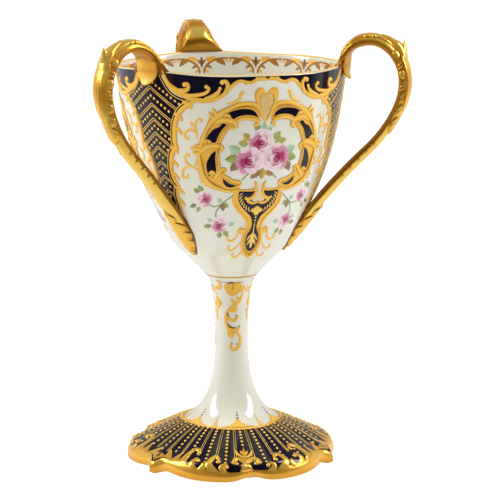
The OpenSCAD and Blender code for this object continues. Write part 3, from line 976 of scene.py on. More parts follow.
# Tones of the bars: share of the line and tone, painted shade, highlight and reflection on the gold. A dark
# band of painted shade lies across the inside of the root
MAIN_SIDES = ((0, 0.2), (0.2, 0.26), (0.4, 0.36), (0.6, 0.16), (0.8, 0.14), (1, 0.2))
MAIN_FACES = (
    (0, 0.5), (0.03, 0.45), (0.045, 0.17), (0.058, 0.18), (0.075, 1), (0.11, 1), (0.13, 0.35), (0.16, 0.45),
    (0.2, 0.9), (0.6, 0.9), (0.7, 1),
)
# The leaf darkens down its middle: a painted reflection of dark surroundings
LEAF_FACES = ((0.25, 0.9), (0.37, 0.7), (0.5, 0.35), (0.62, 0.45), (0.75, 0.75), (0.88, 0.9))
# The tongue's darker and paler stretches are painted shade and painted highlight
TONGUE_SIDES = ((0, 0.25), (0.5, 0.4), (1, 0.3))
TONGUE_FACES = ((0, 0.3), (0.17, 0.45), (0.33, 0.6), (0.5, 0.35), (0.67, 0.75), (0.83, 1), (1, 0.7))


def make_handles():
    main, leaf, shoulder, tongue = handle_bars()
    batch = Batch()
    main.body(batch, sides=MAIN_SIDES, faces=MAIN_FACES)
    leaf.body(batch, 28, faces=LEAF_FACES)
    shoulder.body(batch, 28)
    burnished = len(batch.faces)
    tongue.body(batch, 36, TONGUE_SIDES, TONGUE_FACES)
    satin = len(batch.faces)
    handle_relief(batch, main, leaf)
    points = np.vstack(batch.points)
    tone = np.concatenate(batch.tones)
    indices = np.zeros(len(batch.faces))
    indices[burnished:satin] = 1
    golds = [GOLD, GILDING]
    for name, angle in HANDLES.items():
        a = math.radians(angle)
        turned_points = np.stack([
            points[:, 0] * math.cos(a) - points[:, 1] * math.sin(a),
            points[:, 0] * math.sin(a) + points[:, 1] * math.cos(a),
            points[:, 2],
        ], 1)
        add_piece(name + "_gilt", turned_points, batch.faces, golds, [name], indices, tone)


# The panels of the bowl: cobalt rim, gilt cartouche, pendant and scrolls
# Half of each design is given, from the middle of the panel outwards, and drawn on both sides

RIM_BORDER = [
    (51, 195.5), (47.6, 189.6), (43.6, 186.8), (39.6, 185), (35, 183), (30, 182.2), (26, 182.4),
    (22.6, 183.6), (20, 185.4), (18, 187.6), (16.2, 189.2),
]
RIM_SCALLOP = [
    (17, 188.2), (15, 190.5), (12.4, 191.5), (9.6, 190.9), (7.4, 190.8), (5, 192), (2.6, 192.4), (0, 191.9),
]
# Volutes over the border: a line, its widths and the radius of its end
RIM_VOLUTES = [
    ([(20.4, 184.6), (18.6, 187.4), (18.4, 189.9), (19.6, 191.3), (20.9, 190.9)],
     [1.6, 2.4, 2.4, 2.0, 2.0], 1.2),
    ([(29, 183), (25.4, 184.2), (22.8, 186), (21.8, 188)], [1.4, 2.2, 2.2, 1.2], 0.9),
    ([(39, 184.8), (34, 184.6), (30, 185.2), (27.6, 186.4), (27, 188), (28.2, 188.7)],
     [1.0, 1.4, 1.8, 1.8, 1.6, 1.5], 1.0),
    ([(43, 186.6), (39.4, 186.4), (37.2, 187.3), (36.7, 188.9), (37.7, 189.9), (38.7, 189.4)],
     [2.0, 2.6, 2.2, 1.8, 1.7], 1.2),
]
FRAME_OUTER = [
    (2.6, 178.5), (5, 180.6), (8, 181.4), (11, 181.2), (15, 180), (19, 178), (23, 176.4), (26, 174.4),
    (27.6, 170), (29, 167), (30.2, 163.6), (31.2, 160), (30.6, 155), (29.4, 151.5), (28.2, 147.4),
    (26.4, 143.4), (22.5, 140.6), (17, 138.4), (14, 138), (10.6, 138.4),
]
FRAME_INNER = [
    (2.6, 172.6), (4.4, 173), (7, 173.2), (10, 173.2), (12.6, 172.6), (14, 171.6), (15.4, 170.4),
    (17.6, 168.4), (19.2, 165.4), (20.2, 162), (19.8, 160), (20.6, 157.6), (20.4, 153), (19.8, 150),
    (18, 149), (16.8, 147), (14.6, 145), (12.2, 143.4), (10, 142), (9.2, 140.2),
]
# Scrolls that model the frame: a line, its widths and the radius of its end
FRAME_SCROLLS = [
    ([(2.4, 175.6), (3.2, 178.6), (6, 180.6), (9.5, 181), (13, 180.4), (17, 178.6), (20.6, 176.4),
      (24, 173.4), (26.4, 170), (28, 166.5), (29.2, 163), (30, 160)],
     [1.2, 2.0, 2.0, 2.0, 2.2, 2.6, 3.4, 3.2, 2.4, 2.2, 2.6, 1.6], 0),
    ([(30.6, 158.4), (29.8, 154), (28.8, 150), (27.4, 146.2), (24.6, 142.8), (20.6, 140.7), (16.6, 139.2),
      (12.6, 138.9), (9.6, 139.6)],
     [1.6, 2.2, 2.6, 3.0, 3.2, 2.6, 1.8, 1.5, 1.2], 0),
    ([(14.6, 172.2), (12, 173.5), (9, 174), (6, 173.6), (3.9, 172.6), (3.5, 171.2), (4.7, 170.8)],
     [1.2, 1.7, 1.7, 1.7, 1.6, 1.4], 0.9),
    ([(24.6, 171.2), (21, 173.2), (17.4, 173.2), (14.6, 172.2), (13.6, 170.4), (14.8, 169.4)],
     [0.8, 2.4, 2.8, 2.6, 2.2, 1.6], 1.0),
    ([(16, 170.2), (18.3, 168.2), (19.9, 165.2), (21, 162.2)], [1.6, 2.0, 2.0, 1.8], 0),
    ([(29.6, 157.4), (27.4, 160), (24, 161), (20.8, 161), (19.2, 159.8), (20, 158.7)],
     [1.2, 3.0, 3.0, 2.4, 2.0, 1.4], 1.0),
    ([(21.2, 158), (20.9, 154.6), (20.3, 151.4), (19.8, 149.4)], [1.4, 1.5, 1.5, 1.2], 0),
    ([(22.8, 144.2), (21.2, 146.2), (19.8, 148.6), (18.3, 149.9), (16.9, 149.2), (17.5, 148.2)],
     [1.4, 2.0, 2.0, 1.9, 1.6, 1.2], 0.8),
    ([(18.8, 147.6), (15.8, 145.6), (12.8, 143.9), (10.6, 143.6), (9.5, 142.4), (10.2, 141.4)],
     [1.2, 1.5, 1.4, 1.7, 1.6, 1.2], 0.9),
    ([(22.4, 175.2), (23.8, 177), (25, 179)], [1.6, 2.0, 0.7], 0),
    ([(24, 173.8), (25.6, 175.6), (26.6, 177.2)], [1.6, 2.0, 0.6], 0),
    ([(28.8, 160.2), (31.2, 160.8), (32.8, 161.6)], [1.6, 1.8, 0.6], 0),
    ([(28.6, 158.8), (32, 159.2), (35, 159.6)], [1.8, 2.6, 0.8], 0),
    ([(28.8, 156.6), (31.4, 157), (33.6, 157.4)], [1.6, 1.8, 0.6], 0),
    ([(26.4, 147.2), (28.2, 146), (29, 144.4)], [1.6, 2.0, 0.7], 0),
    ([(25.2, 145), (27.2, 143.6), (28.2, 142.6)], [1.6, 2.0, 0.7], 0),
    ([(23, 143.4), (24.8, 142), (26, 141)], [1.6, 2.0, 0.7], 0),
    ([(28.8, 162.6), (26.8, 163.5), (25.4, 163)], [1.4, 1.4, 1.0], 0.6),
    ([(24.8, 147.2), (23.5, 148.5), (22.4, 148.2)], [1.4, 1.4, 1.0], 0.6),
    ([(19.8, 175.4), (17.8, 175.6), (16.3, 174.7)], [1.6, 1.8, 0.8], 0),
]
# Fine dark lines along the scrolls
FRAME_LINES = [
    [(29.6, 157), (28.6, 153.6), (27.7, 150), (26.4, 146.6)],
    [(24.6, 144), (21.8, 142.2), (19, 141)],
    [(27.8, 164), (26.6, 168), (24.6, 171.2), (21.8, 174)],
    [(19.4, 176.1), (15.6, 178.1), (11.6, 179.4), (7.4, 179.6), (4.4, 178)],
]
FRAME_STUDS = [(17.3, 169.2), (19.2, 166.6), (20.4, 163.2), (21.2, 157), (20.9, 152)]
CRESCENTS = [
    [(18.4, 176.5), (16.6, 174.6), (15, 173.5), (12.4, 174.8), (8.5, 175.3), (5.5, 174.8), (3.7, 173.9),
     (3.6, 174.8), (4.6, 176.8), (6.8, 178.3), (9.5, 178.8), (12.5, 178.6), (15.6, 177.9)],
    [(17.4, 171.3), (20, 172), (21.6, 170.3), (24, 169.2), (26, 167), (27.5, 164.4), (27.8, 162.6),
     (25, 162.4), (22.6, 162.3), (21.8, 164.2), (20.6, 167.2), (19, 169.5)],
    [(22, 159), (23.8, 158), (25.3, 155.8), (26.4, 153), (26.4, 150.4), (25.6, 147.8), (24.4, 145.6),
     (23.4, 147.8), (22.3, 148.4), (21.5, 147), (21.1, 149.4), (21.6, 152), (22, 155)],
    [(18.2, 146.2), (16.4, 144.3), (14.2, 142.9), (11, 141.6), (13.4, 140.5), (15.8, 141), (17.7, 143)],
]
HEART = [
    (0, 185.2), (1, 187), (2.6, 188.2), (4.4, 188), (5.6, 186.4), (5.7, 184), (4.9, 181), (3.6, 178),
    (2.2, 175), (0.8, 172.4), (0, 171.6),
]
TRELLIS = [
    (0, 183.6), (1.2, 185), (2.6, 184.6), (3.2, 182.6), (2.8, 179.6), (1.8, 176.6), (0.7, 174.2), (0, 173.6),
]
PENDANT = [
    (10.4, 139.6), (11.6, 137), (11.8, 134.6), (10.9, 131.8), (8.8, 129), (6.4, 126.6), (4.8, 124.4),
    (3.8, 122.6), (3.4, 120.6), (3.8, 118.6), (4.4, 116), (4.6, 113), (4, 110), (2.8, 107), (1.2, 104.8),
    (0, 104),
]
PENDANT_GROUND = [
    (9.4, 139), (9.8, 137), (9.3, 134.2), (7.8, 131.2), (5.2, 128.5), (2.7, 126), (1.6, 123.6), (1.2, 121),
    (1.7, 118.8), (2.8, 116.4), (3.1, 113.6), (2.4, 110.4), (1.2, 108), (0, 107.5),
]
# Leaves at the top of the pendant: a line and its widths
PENDANT_LEAVES = [
    ([(10, 139.4), (6.4, 139.2), (3.4, 139.3), (2, 140.6), (2.1, 142.6), (3, 143.4)],
     [1.1, 1.0, 1.1, 1.3, 1.3, 1.2]),
    ([(1.6, 140.4), (1.8, 137.6), (2.9, 135.9), (4.4, 135), (6, 135.2), (6.3, 136.1)],
     [1.2, 1.5, 1.7, 1.8, 1.7, 1.3]),
    ([(5.6, 134.8), (4.6, 133.7), (3.2, 132.9), (1.7, 132.8), (0.1, 133.4)], [1.2, 1.6, 1.5, 1.5, 1.2]),
]
PENDANT_TRELLIS = [(0.9, 142), (0.9, 138.4), (1.6, 136.6), (3.2, 135), (2.6, 133.8), (1.2, 133.5), (0, 133.9)]
# Gadroons fan out from a point on the middle at this height
GADROONS, GADROON_Z = 7, 138.6
PENDANT_ROPE = [(2.7, 118.8), (3.7, 116.4), (3.9, 113.4), (3.2, 110), (1.9, 107.2), (0.5, 105.7)]
QUATREFOIL = [
    (0, 131.2), (0.9, 131), (1.4, 130.2), (2.1, 130.1), (2.8, 129.4), (2.8, 128.6), (2.2, 128), (1.5, 127.7),
    (1, 126.8), (0.4, 126.3), (0, 126.2),
]
# Scrolls on the white ground: a line and its widths, which are drawn heavier by a weight
TENDRIL_WEIGHT = 1.25
TENDRILS = [
    ([(31.6, 163.5), (32.1, 167), (32.9, 170.6), (31.6, 173.4), (29.8, 173.2), (30, 171.8)],
     [0.4, 1.2, 1.0, 0.8]),
    ([(32.2, 166.4), (34.6, 168.4), (37.2, 167.4), (37.8, 165.2), (36.4, 163.8), (35.4, 165)],
     [0.5, 1.1, 1.2, 0.8]),
    ([(32.6, 169.6), (34.4, 170.8), (35.2, 172.4)], [0.5, 1.1, 0.4]),
    ([(28.8, 148.4), (32.3, 150), (35, 151.2), (36.9, 153.6), (36.6, 156.2), (35, 156.2), (35.2, 154.8)],
     [0.4, 1.0, 1.2, 1.0, 0.8]),
    ([(33.8, 150.6), (36.8, 149.6), (38.2, 147), (36.8, 144.6), (34.8, 145.2), (35.2, 146.8)],
     [0.5, 1.2, 1.2, 0.8]),
    ([(32.4, 150), (31.4, 152), (31.6, 153.6)], [0.5, 1.0, 0.4]),
    ([(10.4, 185.6), (11.6, 186.2), (12.3, 184.6), (12.7, 183), (14.6, 181.8), (18.6, 180.9)],
     [0.7, 1.5, 1.4, 0.9, 0.4]),
    ([(5, 121), (7.2, 119.4), (7.4, 116), (8.8, 113.4), (11.2, 113.4), (12, 115.2), (11, 116)],
     [0.4, 0.9, 1.0, 0.8]),
    ([(5.4, 112.6), (7, 109.4), (9, 108), (10.6, 109.2), (10.4, 110.8)], [0.4, 0.9, 1.0, 0.8]),
    ([(3.4, 109), (4.4, 105.8), (6, 104.2), (7.8, 105.2), (7.4, 106.6)], [0.4, 0.9, 1.0, 0.8]),
]


def lattice(batch, surface, outline, pitch, width, height):
    """Crossing lines that fill an outline."""
    low, high = outline.min(0), outline.max(0)
    reach = high[1] - low[1] + high[0] - low[0]
    for slant in (1, -1):
        for start in np.arange(low[0] - reach, high[0] + reach, pitch):
            t = np.arange(0, reach, 0.25)
            line = np.stack([start + slant * t * 0.8, low[1] + t], 1)
            line = line[inside(line, outline)]
            if len(line) > 4:
                stroke(batch, surface, line, width, height, LATTICE, lift=OVER_GOLD, ready=True)


def panel_cobalt(surface, middle):
    batch = Batch()
    border = np.vstack([smooth(RIM_BORDER, 0.6), smooth(RIM_SCALLOP, 0.6)[1:]])
    lower = np.vstack([mirrored(border, -1), border[::-1][1:]])
    reach = RIM_BORDER[0][0]
    x = np.linspace(reach, -reach, 160)
    rim = rim_height(middle + np.degrees(x / RIM_R)) - 0.7
    patch(batch, surface, np.vstack([lower, np.stack([x, rim], 1)]), 0.04)
    patch(batch, surface, both_sides(PENDANT_GROUND), OVER_GOLD, 0.8)
    for side in (1, -1):
        for shape in CRESCENTS:
            patch(batch, surface, mirrored(closed(shape), side), OVER_GOLD, 0.8)
    return batch


def frame_gilding(pen):
    """The frame of the roses."""
    pen.band(smooth(FRAME_INNER, 0.5), smooth(FRAME_OUTER, 0.5), 0.04, (0.45, 0.6))
    for shape in CRESCENTS:
        pen.outline(shape, 0.6, 0.2, lift=0.1)
    pen.volutes(FRAME_SCROLLS, 0.35, OVER_GROUND)
    for line in FRAME_LINES:
        pen.stroke(line, [0.2, 0.5, 0.2], 0.05, (0.1, 0.2), 0.3, 0.47)
    for place in spaced(smooth(FRAME_STUDS, 0.3), 1.25):
        pen.bead(place, 0.3, 0.12, DARK, lift=0.45)


def border_gilding(pen):
    """The border of the cobalt rim, with its volutes."""
    pen.stroke(RIM_BORDER, [1.2, 2.2, 3.0, 3.0, 2.6, 2.4, 2.2, 2.0, 1.6], 0.35, PLAIN)
    pen.stroke(RIM_SCALLOP, [2.0, 1.7, 1.5, 1.9, 1.5], 0.16, PLAIN)
    pen.volutes(RIM_VOLUTES, 0.4, 0.06)
    for place in ((1.8, 192.6), (5, 192.4), (10, 190.4)):
        pen.bead(place, 0.9, 0.15, PLAIN)


def pendant_gilding(pen):
    """The pendant's edge, gadroons, leaves and rope."""
    pen.stroke(PENDANT, [1.4, 1.4, 1.3, 1.2, 1.4, 1.4, 1.0], 0.3, PLAIN)
    for k in range(GADROONS):
        a = math.radians(-10 - 9.6 * k)
        out = 9.7 + 0.18 * k
        ends = ((out - 2, a + 0.08), (out - 1, a + 0.03), (out, a - 0.08))
        gadroon = [(r * math.cos(turn), GADROON_Z + r * math.sin(turn)) for r, turn in ends]
        pen.stroke(gadroon, [0.35, 0.62, 0.45], 0.15, BRIGHT, 0.3, OVER_GROUND)
    pen.strokes(PENDANT_LEAVES, 0.3, PLAIN, lift=OVER_GROUND)
    for place in spaced(smooth(PENDANT_ROPE, 0.3), 1.25):
        pen.bead(place, 0.58, 0.3, (0.0, 0.75), lift=0.2)
    for x, z in ((2.1, 111), (2.5, 113.4)):
        leaflet = [(0.3, z + 3.4), (0.6 * x, z + 1.8), (x, z)]
        pen.stroke(leaflet, [1.0, 1.1, 0.4], 0.25, BRIGHT, 0.25, OVER_GROUND)
    pen.bead((5.4, 118.4), 1.6, 0.3, PLAIN)


def panel_gilding(surface):
    batch = Batch()
    patch(batch, surface, both_sides(PENDANT), 0.05, 0.8, 0.6)
    for pen in both_pens(batch, surface):
        frame_gilding(pen)
        border_gilding(pen)
        pen.strokes(TENDRILS, 0.2, (0.3, 0.9), weight=TENDRIL_WEIGHT)
        pendant_gilding(pen)
        pen.band(smooth(TRELLIS, 0.4), smooth(HEART, 0.4), 0.08, (0.25, 0.72), 0.35)
    lattice(batch, surface, both_sides(TRELLIS), 1.7, 0.5, 0.16)
    lattice(batch, surface, both_sides(PENDANT_TRELLIS), 1.5, 0.36, 0.12)
    patch(batch, surface, both_sides(QUATREFOIL), OVER_GROUND, 0.6, 0.9, 0.2, 0.8)
    for z in (125.4, 123.8):
        bead(batch, surface, (0, z), 0.55, 0.3, BRIGHT, stretch=(1.0, 0.8), lift=OVER_GROUND)
    drop = [(0, 122.8), (0, 119.6), (0, 115), (0, 109.4)]
    stroke(batch, surface, drop, [0.4, 0.6, 2.0, 0.8], 0.3, BRIGHT, 0.3, OVER_GROUND)
    return batch


# Chevron bands round the handles' feet

BAND_UPPER = [(6.4, 195.5), (8.4, 191.5), (10.4, 188), (14.2, 184.5), (22.2, 181.7)]
BAND_SCALLOPS = [
    [(22.2, 181.7), (19.4, 180.4), (16, 178), (13.6, 175), (11.4, 170.5), (10.2, 165), (9.8, 161.4),
     (10.3, 159.5)],
    [(10.3, 159.5), (8.2, 157.8), (6.6, 155.4), (5.5, 152), (4.6, 148), (4.5, 144.5), (5.1, 142),
     (6.3, 140.3)],
    [(6.3, 140.3), (4.7, 138), (3.7, 134), (3.4, 130), (2.4, 124), (1, 118)],
]
CHEVRONS = [187.8, 179.6, 172.6, 166, 159.2, 152, 145, 138, 131.4]
# The second line of a chevron lies this far below the first
CHEVRON_GAP = 1.15
# The first row of beads has its apex between this height and the first chevron. None lies above a limit
BEADS_FROM, BEADS_LIMIT = 195, 193
CROCKETS = [179, 173, 166.6, 157, 150.6, 144, 137, 131]


def band_edge():
    return np.vstack([smooth(BAND_UPPER, 0.5)] + [smooth(s, 0.5)[1:] for s in BAND_SCALLOPS])


def band_half(z):
    edge = band_edge()[::-1]
    return np.interp(z, edge[:, 1], edge[:, 0])


def chevron_arm(apex, inset, step=0.35):
    """One arm of a chevron, from its apex to the band's edge. Lower ones are steeper."""
    v = np.arange(0, 24, step)
    slope = 0.68 + 0.12 * (188 - apex) / 56
    z = apex - slope * v
    keep = v < band_half(z) - inset
    count = int(np.argmin(keep)) if not keep.all() else len(v)
    return np.stack([v, z], 1)[:count]


def band_cobalt(batch, surface):
    edge = band_edge()
    patch(batch, surface, np.vstack([edge, mirrored(edge, -1)[::-1]]), 0.05)


def band_gilding(batch, surface):
    edge = band_edge()
    for pen in both_pens(batch, surface):
        pen.stroke(edge + normals(edge), [0.8, 1.4, 2.4, 2.8, 2.6, 2.2, 1.6, 0.6], 0.3, PLAIN, ready=True)
        pen.stroke(edge - normals(edge), 0.45, 0.14, LIT, lift=0.06, ready=True)
        for apex in CHEVRONS:
            for drop in (0, CHEVRON_GAP):
                arm = chevron_arm(apex - drop, 1.0)
                if len(arm) > 4:
                    pen.stroke(arm, 0.42, 0.14, LIT, lift=0.06, ready=True)
        # Rows of beads between the chevrons. The one in the middle belongs to one side
        for upper, lower in zip([BEADS_FROM] + CHEVRONS, CHEVRONS):
            row = chevron_arm((upper - CHEVRON_GAP + lower) / 2, 1.9, 1.98)
            for place in row if pen.side > 0 else row[1:]:
                if place[1] < BEADS_LIMIT:
                    pen.bead(place, 0.66, 0.3, LIT, lift=0.05)
        for k, z in enumerate(CROCKETS):
            v = band_half(z) + 1.2
            size = 1.2 if k % 2 else 1.6
            hook = [(-0.8, z + 2.4), (size, z + 1.6), (2.2 * size, z + 0.1), (1.7 * size, z - 1.0)]
            pen.stroke([(v + x, height) for x, height in hook], [2.2, 2.4, 1.7, 0.9], 0.25, PLAIN, 0.3)


def make_bowl_paint():
    bands, lines, trellis = Batch(), Batch(), Batch()
    for name, angle in PANELS.items():
        middle = angle + PANEL_TURN
        surface = Wall(BOWL_LINE, middle)
        panel_cobalt(surface, middle).piece("panel_cobalt_" + name, COBALT, "cobalt_glaze")
        panel_gilding(surface).piece("panel_gilding_" + name, GILDING, "gilding")
        patch(trellis, surface, both_sides(PENDANT_TRELLIS), 0.15, 0.8)
    for angle in HANDLES.values():
        surface = Wall(BOWL_LINE, angle)
        band_cobalt(bands, surface)
        band_gilding(lines, surface)
    bands.piece("chevron_bands_cobalt", COBALT, "cobalt_glaze")
    lines.piece("chevron_bands_gilding", GILDING, "gilding")
    trellis.piece("pendant_trellis_grounds", PORCELAIN, "porcelain")


# Gilding of the rim, the inside, the stem and the foot

FRIEZE = [
    ([(-12.4, 184), (-12.2, 186.2), (-10.6, 188.6), (-7.4, 190.6), (-3.6, 191.4), (0, 191.6)],
     [1.0, 1.3, 1.2, 0.8]),
    ([(-10.4, 189), (-8.6, 191.2), (-6.2, 191.8)], [1.0, 2.8, 0.7]),
    ([(-6.8, 190.8), (-4.8, 190.4), (-2.8, 189.2), (-1.8, 187.8)], [1.2, 2.8, 2.4, 0.5]),
    ([(-9.2, 189.6), (-10.6, 191.4), (-10.2, 192.6)], [0.8, 1.8, 0.5]),
    ([(-11.2, 187.6), (-9.6, 187.4), (-8.6, 186.4)], [0.7, 1.5, 0.5]),
    ([(-12.2, 186), (-10.8, 185.2), (-10.2, 184.2)], [0.7, 1.3, 0.5]),
    ([(-5.6, 191), (-4.4, 189.4), (-3, 188.8), (-2.8, 190)], [0.6, 1.1, 0.8]),
    ([(-1.6, 191.6), (-1, 190.4), (0, 190)], [0.5, 1.0, 0.5]),
]
PALMETTE = [
    ([(0, 187), (0, 189.6), (0, 192.4)], [0.6, 2.0, 0.8]),
    ([(0, 188), (1.2, 190), (2.4, 191)], [0.6, 1.5, 0.6]),
]
# Repeats round the inside of the lip, and the angles where the first of each lies
FRIEZE_COUNT, FRIEZE_AT, PALMETTE_AT = 12, 75, 60


def lip_gilding(batch):
    """Gold over the rounded edge of the rim, a little proud of it."""
    proud = 0.03
    angles = full_turn(288)
    top = rim_height(angles) - LIP_R
    centre = OUTER_WALL.radius(top) - LIP_R
    rows = []
    for turn in np.linspace(0.8, np.pi - 0.6, 9):
        rows.append(hoop(angles, centre + (LIP_R + proud) * np.cos(turn), top + LIP_R * np.sin(turn)))
    batch.add(np.vstack(rows), grid_faces(len(rows), len(angles)), 0.7)


def inside_gilding(batch):
    dark, glint = (0.0, 0.12), (0.05, 0.6)
    for turn in full_turn(FRIEZE_COUNT):
        for pen in both_pens(batch, Wall(INNER_WALL, FRIEZE_AT + turn, -1)):
            for place, (line, width) in enumerate(FRIEZE):
                pen.stroke(line, width, 0.12, glint if place % 2 else dark, 0.35)
        for pen in both_pens(batch, Wall(INNER_WALL, PALMETTE_AT + turn, -1)):
            pen.strokes(PALMETTE, 0.12, dark, 0.35)


# Flowers and scrolls of the stem, with widths that are drawn heavier by a weight
STEM_WEIGHT = 1.35
# How far the long and the short scrolls are turned from the middle of a panel
STEM_LONG_TURN, STEM_SHORT_TURN = -10, -70
STEM_FLOWER = [
    (-4.4, 87.2), (-3.4, 88.6), (-2, 88.2), (-0.8, 89), (0.8, 88.6), (2.2, 89), (3.4, 87.8), (3.2, 86.2),
    (3.8, 84.8), (2.4, 84), (1.6, 82.8), (0.2, 83), (-0.8, 82), (-2, 83), (-3.2, 83.4), (-3.4, 84.8),
    (-4.4, 85.6),
]
STEM_LONG = [
    ([(1.4, 88.3), (3, 88), (4, 86.4), (4.5, 83.8), (3.9, 81), (2.2, 78.8), (0.2, 77), (-2, 75.4),
      (-3.4, 73.2), (-3.9, 70.6), (-3.5, 68), (-2.4, 65.6), (-1.4, 63.6)],
     [1.2, 1.0, 0.8, 1.4, 1.6, 1.1, 1.1, 1.2, 2.0]),
    ([(3.4, 87.4), (5, 86.4), (6.6, 84.8), (8, 83.6)], [0.8, 1.2, 0.9, 0.5]),
    ([(3.4, 80.4), (2, 81), (0.8, 80.8)], [0.8, 1.4, 0.6]),
    ([(1.4, 78.2), (-0.4, 79.4), (-1.6, 80.6)], [0.9, 1.4, 0.7]),
    ([(0.8, 77.6), (0.6, 75.4), (0.4, 73.6)], [1.6, 2.2, 1.2]),
    ([(-0.6, 76.6), (-0.8, 75), (-1, 73.8)], [1.4, 1.8, 1.0]),
    ([(-3.5, 73), (-2.6, 70.8), (-0.6, 69.8), (1.2, 70.2), (1.9, 71.4), (1.1, 72.2)], [1.0, 1.3, 1.3, 1.0]),
    ([(-3.2, 67.4), (-1.6, 65.8), (0.6, 65.2), (2.4, 65.4), (3.2, 66.4)], [0.9, 1.4, 1.4, 0.9]),
    ([(-1.8, 65.2), (-1.2, 62.8), (-0.6, 60.8)], [1.8, 2.6, 1.2]),
    ([(-0.2, 64.6), (1.8, 63.4), (3.2, 61.4), (3.5, 59), (2.8, 56.8), (1.2, 55.4), (-0.6, 55.6), (-1.4, 57),
      (-0.7, 58.2)],
     [1.2, 1.1, 1.3, 1.4, 1.2, 1.0]),
]
# Brown touches in the shade of the scrolls
STEM_SHADES = [
    ([(-3.2, 88.3), (-1.8, 88.9), (0.4, 88.8)], [0.4, 0.9, 0.4]),
    ([(-2.9, 74), (-2.8, 72.6), (-2.2, 71.4)], [0.3, 0.8, 0.3]),
    ([(-2.9, 68.4), (-2, 66.9), (-0.4, 66.1), (1.4, 66.2)], [0.4, 0.9, 0.9, 0.4]),
    ([(0.9, 72.3), (1.6, 71.9)], [0.7, 0.9]),
    ([(2.4, 66.3), (3.1, 67)], [0.6, 0.8]),
    ([(-1.2, 58.2), (-0.4, 58.6)], [0.5, 0.8]),
    ([(1.3, 57.7), (2, 58.2)], [0.5, 0.8]),
]
STEM_SHORT = [
    ([(2.4, 89.6), (3.8, 88.4), (3.4, 86.4), (1.6, 85.6), (-0.6, 85.2)], [0.8, 1.4, 1.6, 1.1]),
    ([(-3, 87.2), (-1.2, 84.6), (0.2, 82.6), (0.6, 81.4)], [0.5, 0.7, 0.7, 0.5]),
    ([(0.6, 81.4), (0.7, 78.2), (0.4, 75)], [0.8, 4.4, 0.8]),
    ([(0.4, 75.4), (-0.4, 73), (-0.6, 71.2), (0, 69.4)], [0.5, 1.1, 0.9, 1.2]),
    ([(-0.2, 73.4), (-1.4, 74.2), (-1.8, 75.2)], [0.5, 0.9, 0.4]),
]


def stem_gilding(batch):
    # The gilding runs up from the stem on to the bowl
    line = np.vstack([STEM_LINE, BOWL_LINE[2:8]])
    for angle in PANELS.values():
        pen = Pen(batch, Wall(line, angle + STEM_LONG_TURN))
        patch(batch, pen.surface, closed(STEM_FLOWER), 0.06, 0.7, 0.62)
        pen.outline(STEM_FLOWER, 0.6, 0.18)
        for place in ((-0.4, 86.4), (-0.5, 87.4), (-0.8, 85.6)):
            pen.bead(place, 0.35, 0.2, DARK, lift=0.06)
        pen.strokes(STEM_LONG, 0.16, PLAIN, weight=STEM_WEIGHT)
        pen.strokes(STEM_SHADES, 0.1, (0.0, 0.02), lift=0.16)
        pen = Pen(batch, Wall(line, angle + STEM_SHORT_TURN))
        pen.strokes(STEM_SHORT, 0.16, PLAIN, weight=STEM_WEIGHT)
    # The gilt line over the joint of bowl and stem
    height = BASE_Z + 2.5
    turn = np.linspace(0, 360, 181)
    ring = np.stack([np.radians(turn) * OUTER_WALL.radius(height), np.full(len(turn), height)], 1)
    stroke(batch, OUTER_WALL, ring, 0.85, 0.14, (0.0, 0.4), ready=True)


# Rays of dots, with a pair of lines half way between them. They start a little off the notch
FOOT_RAYS, FOOT_OFF = 30, 3
FOOT_START = FOOT_NOTCH - FOOT_OFF
DOT_FIRST, DOT_PITCH = 0.07, 0.094
# Knobs and columns of beads on the border, by turns
FOOT_KNOBS = 12
# The gold along the foot, from the middle of a side to a tip: degrees and shares down, and its lower edge
FOOT_BAND_LOW = 1.96
FOOT_BAND = [
    (0, 1.6), (5, 1.58), (9, 1.56), (14, 1.52), (20, 1.47), (26, 1.44), (31, 1.4), (35, 1.34), (38, 1.2),
    (41, 1.04), (45, 0.97), (48, 1.02), (52, 0.97), (57, 0.93), (60.2, 1.02),
]
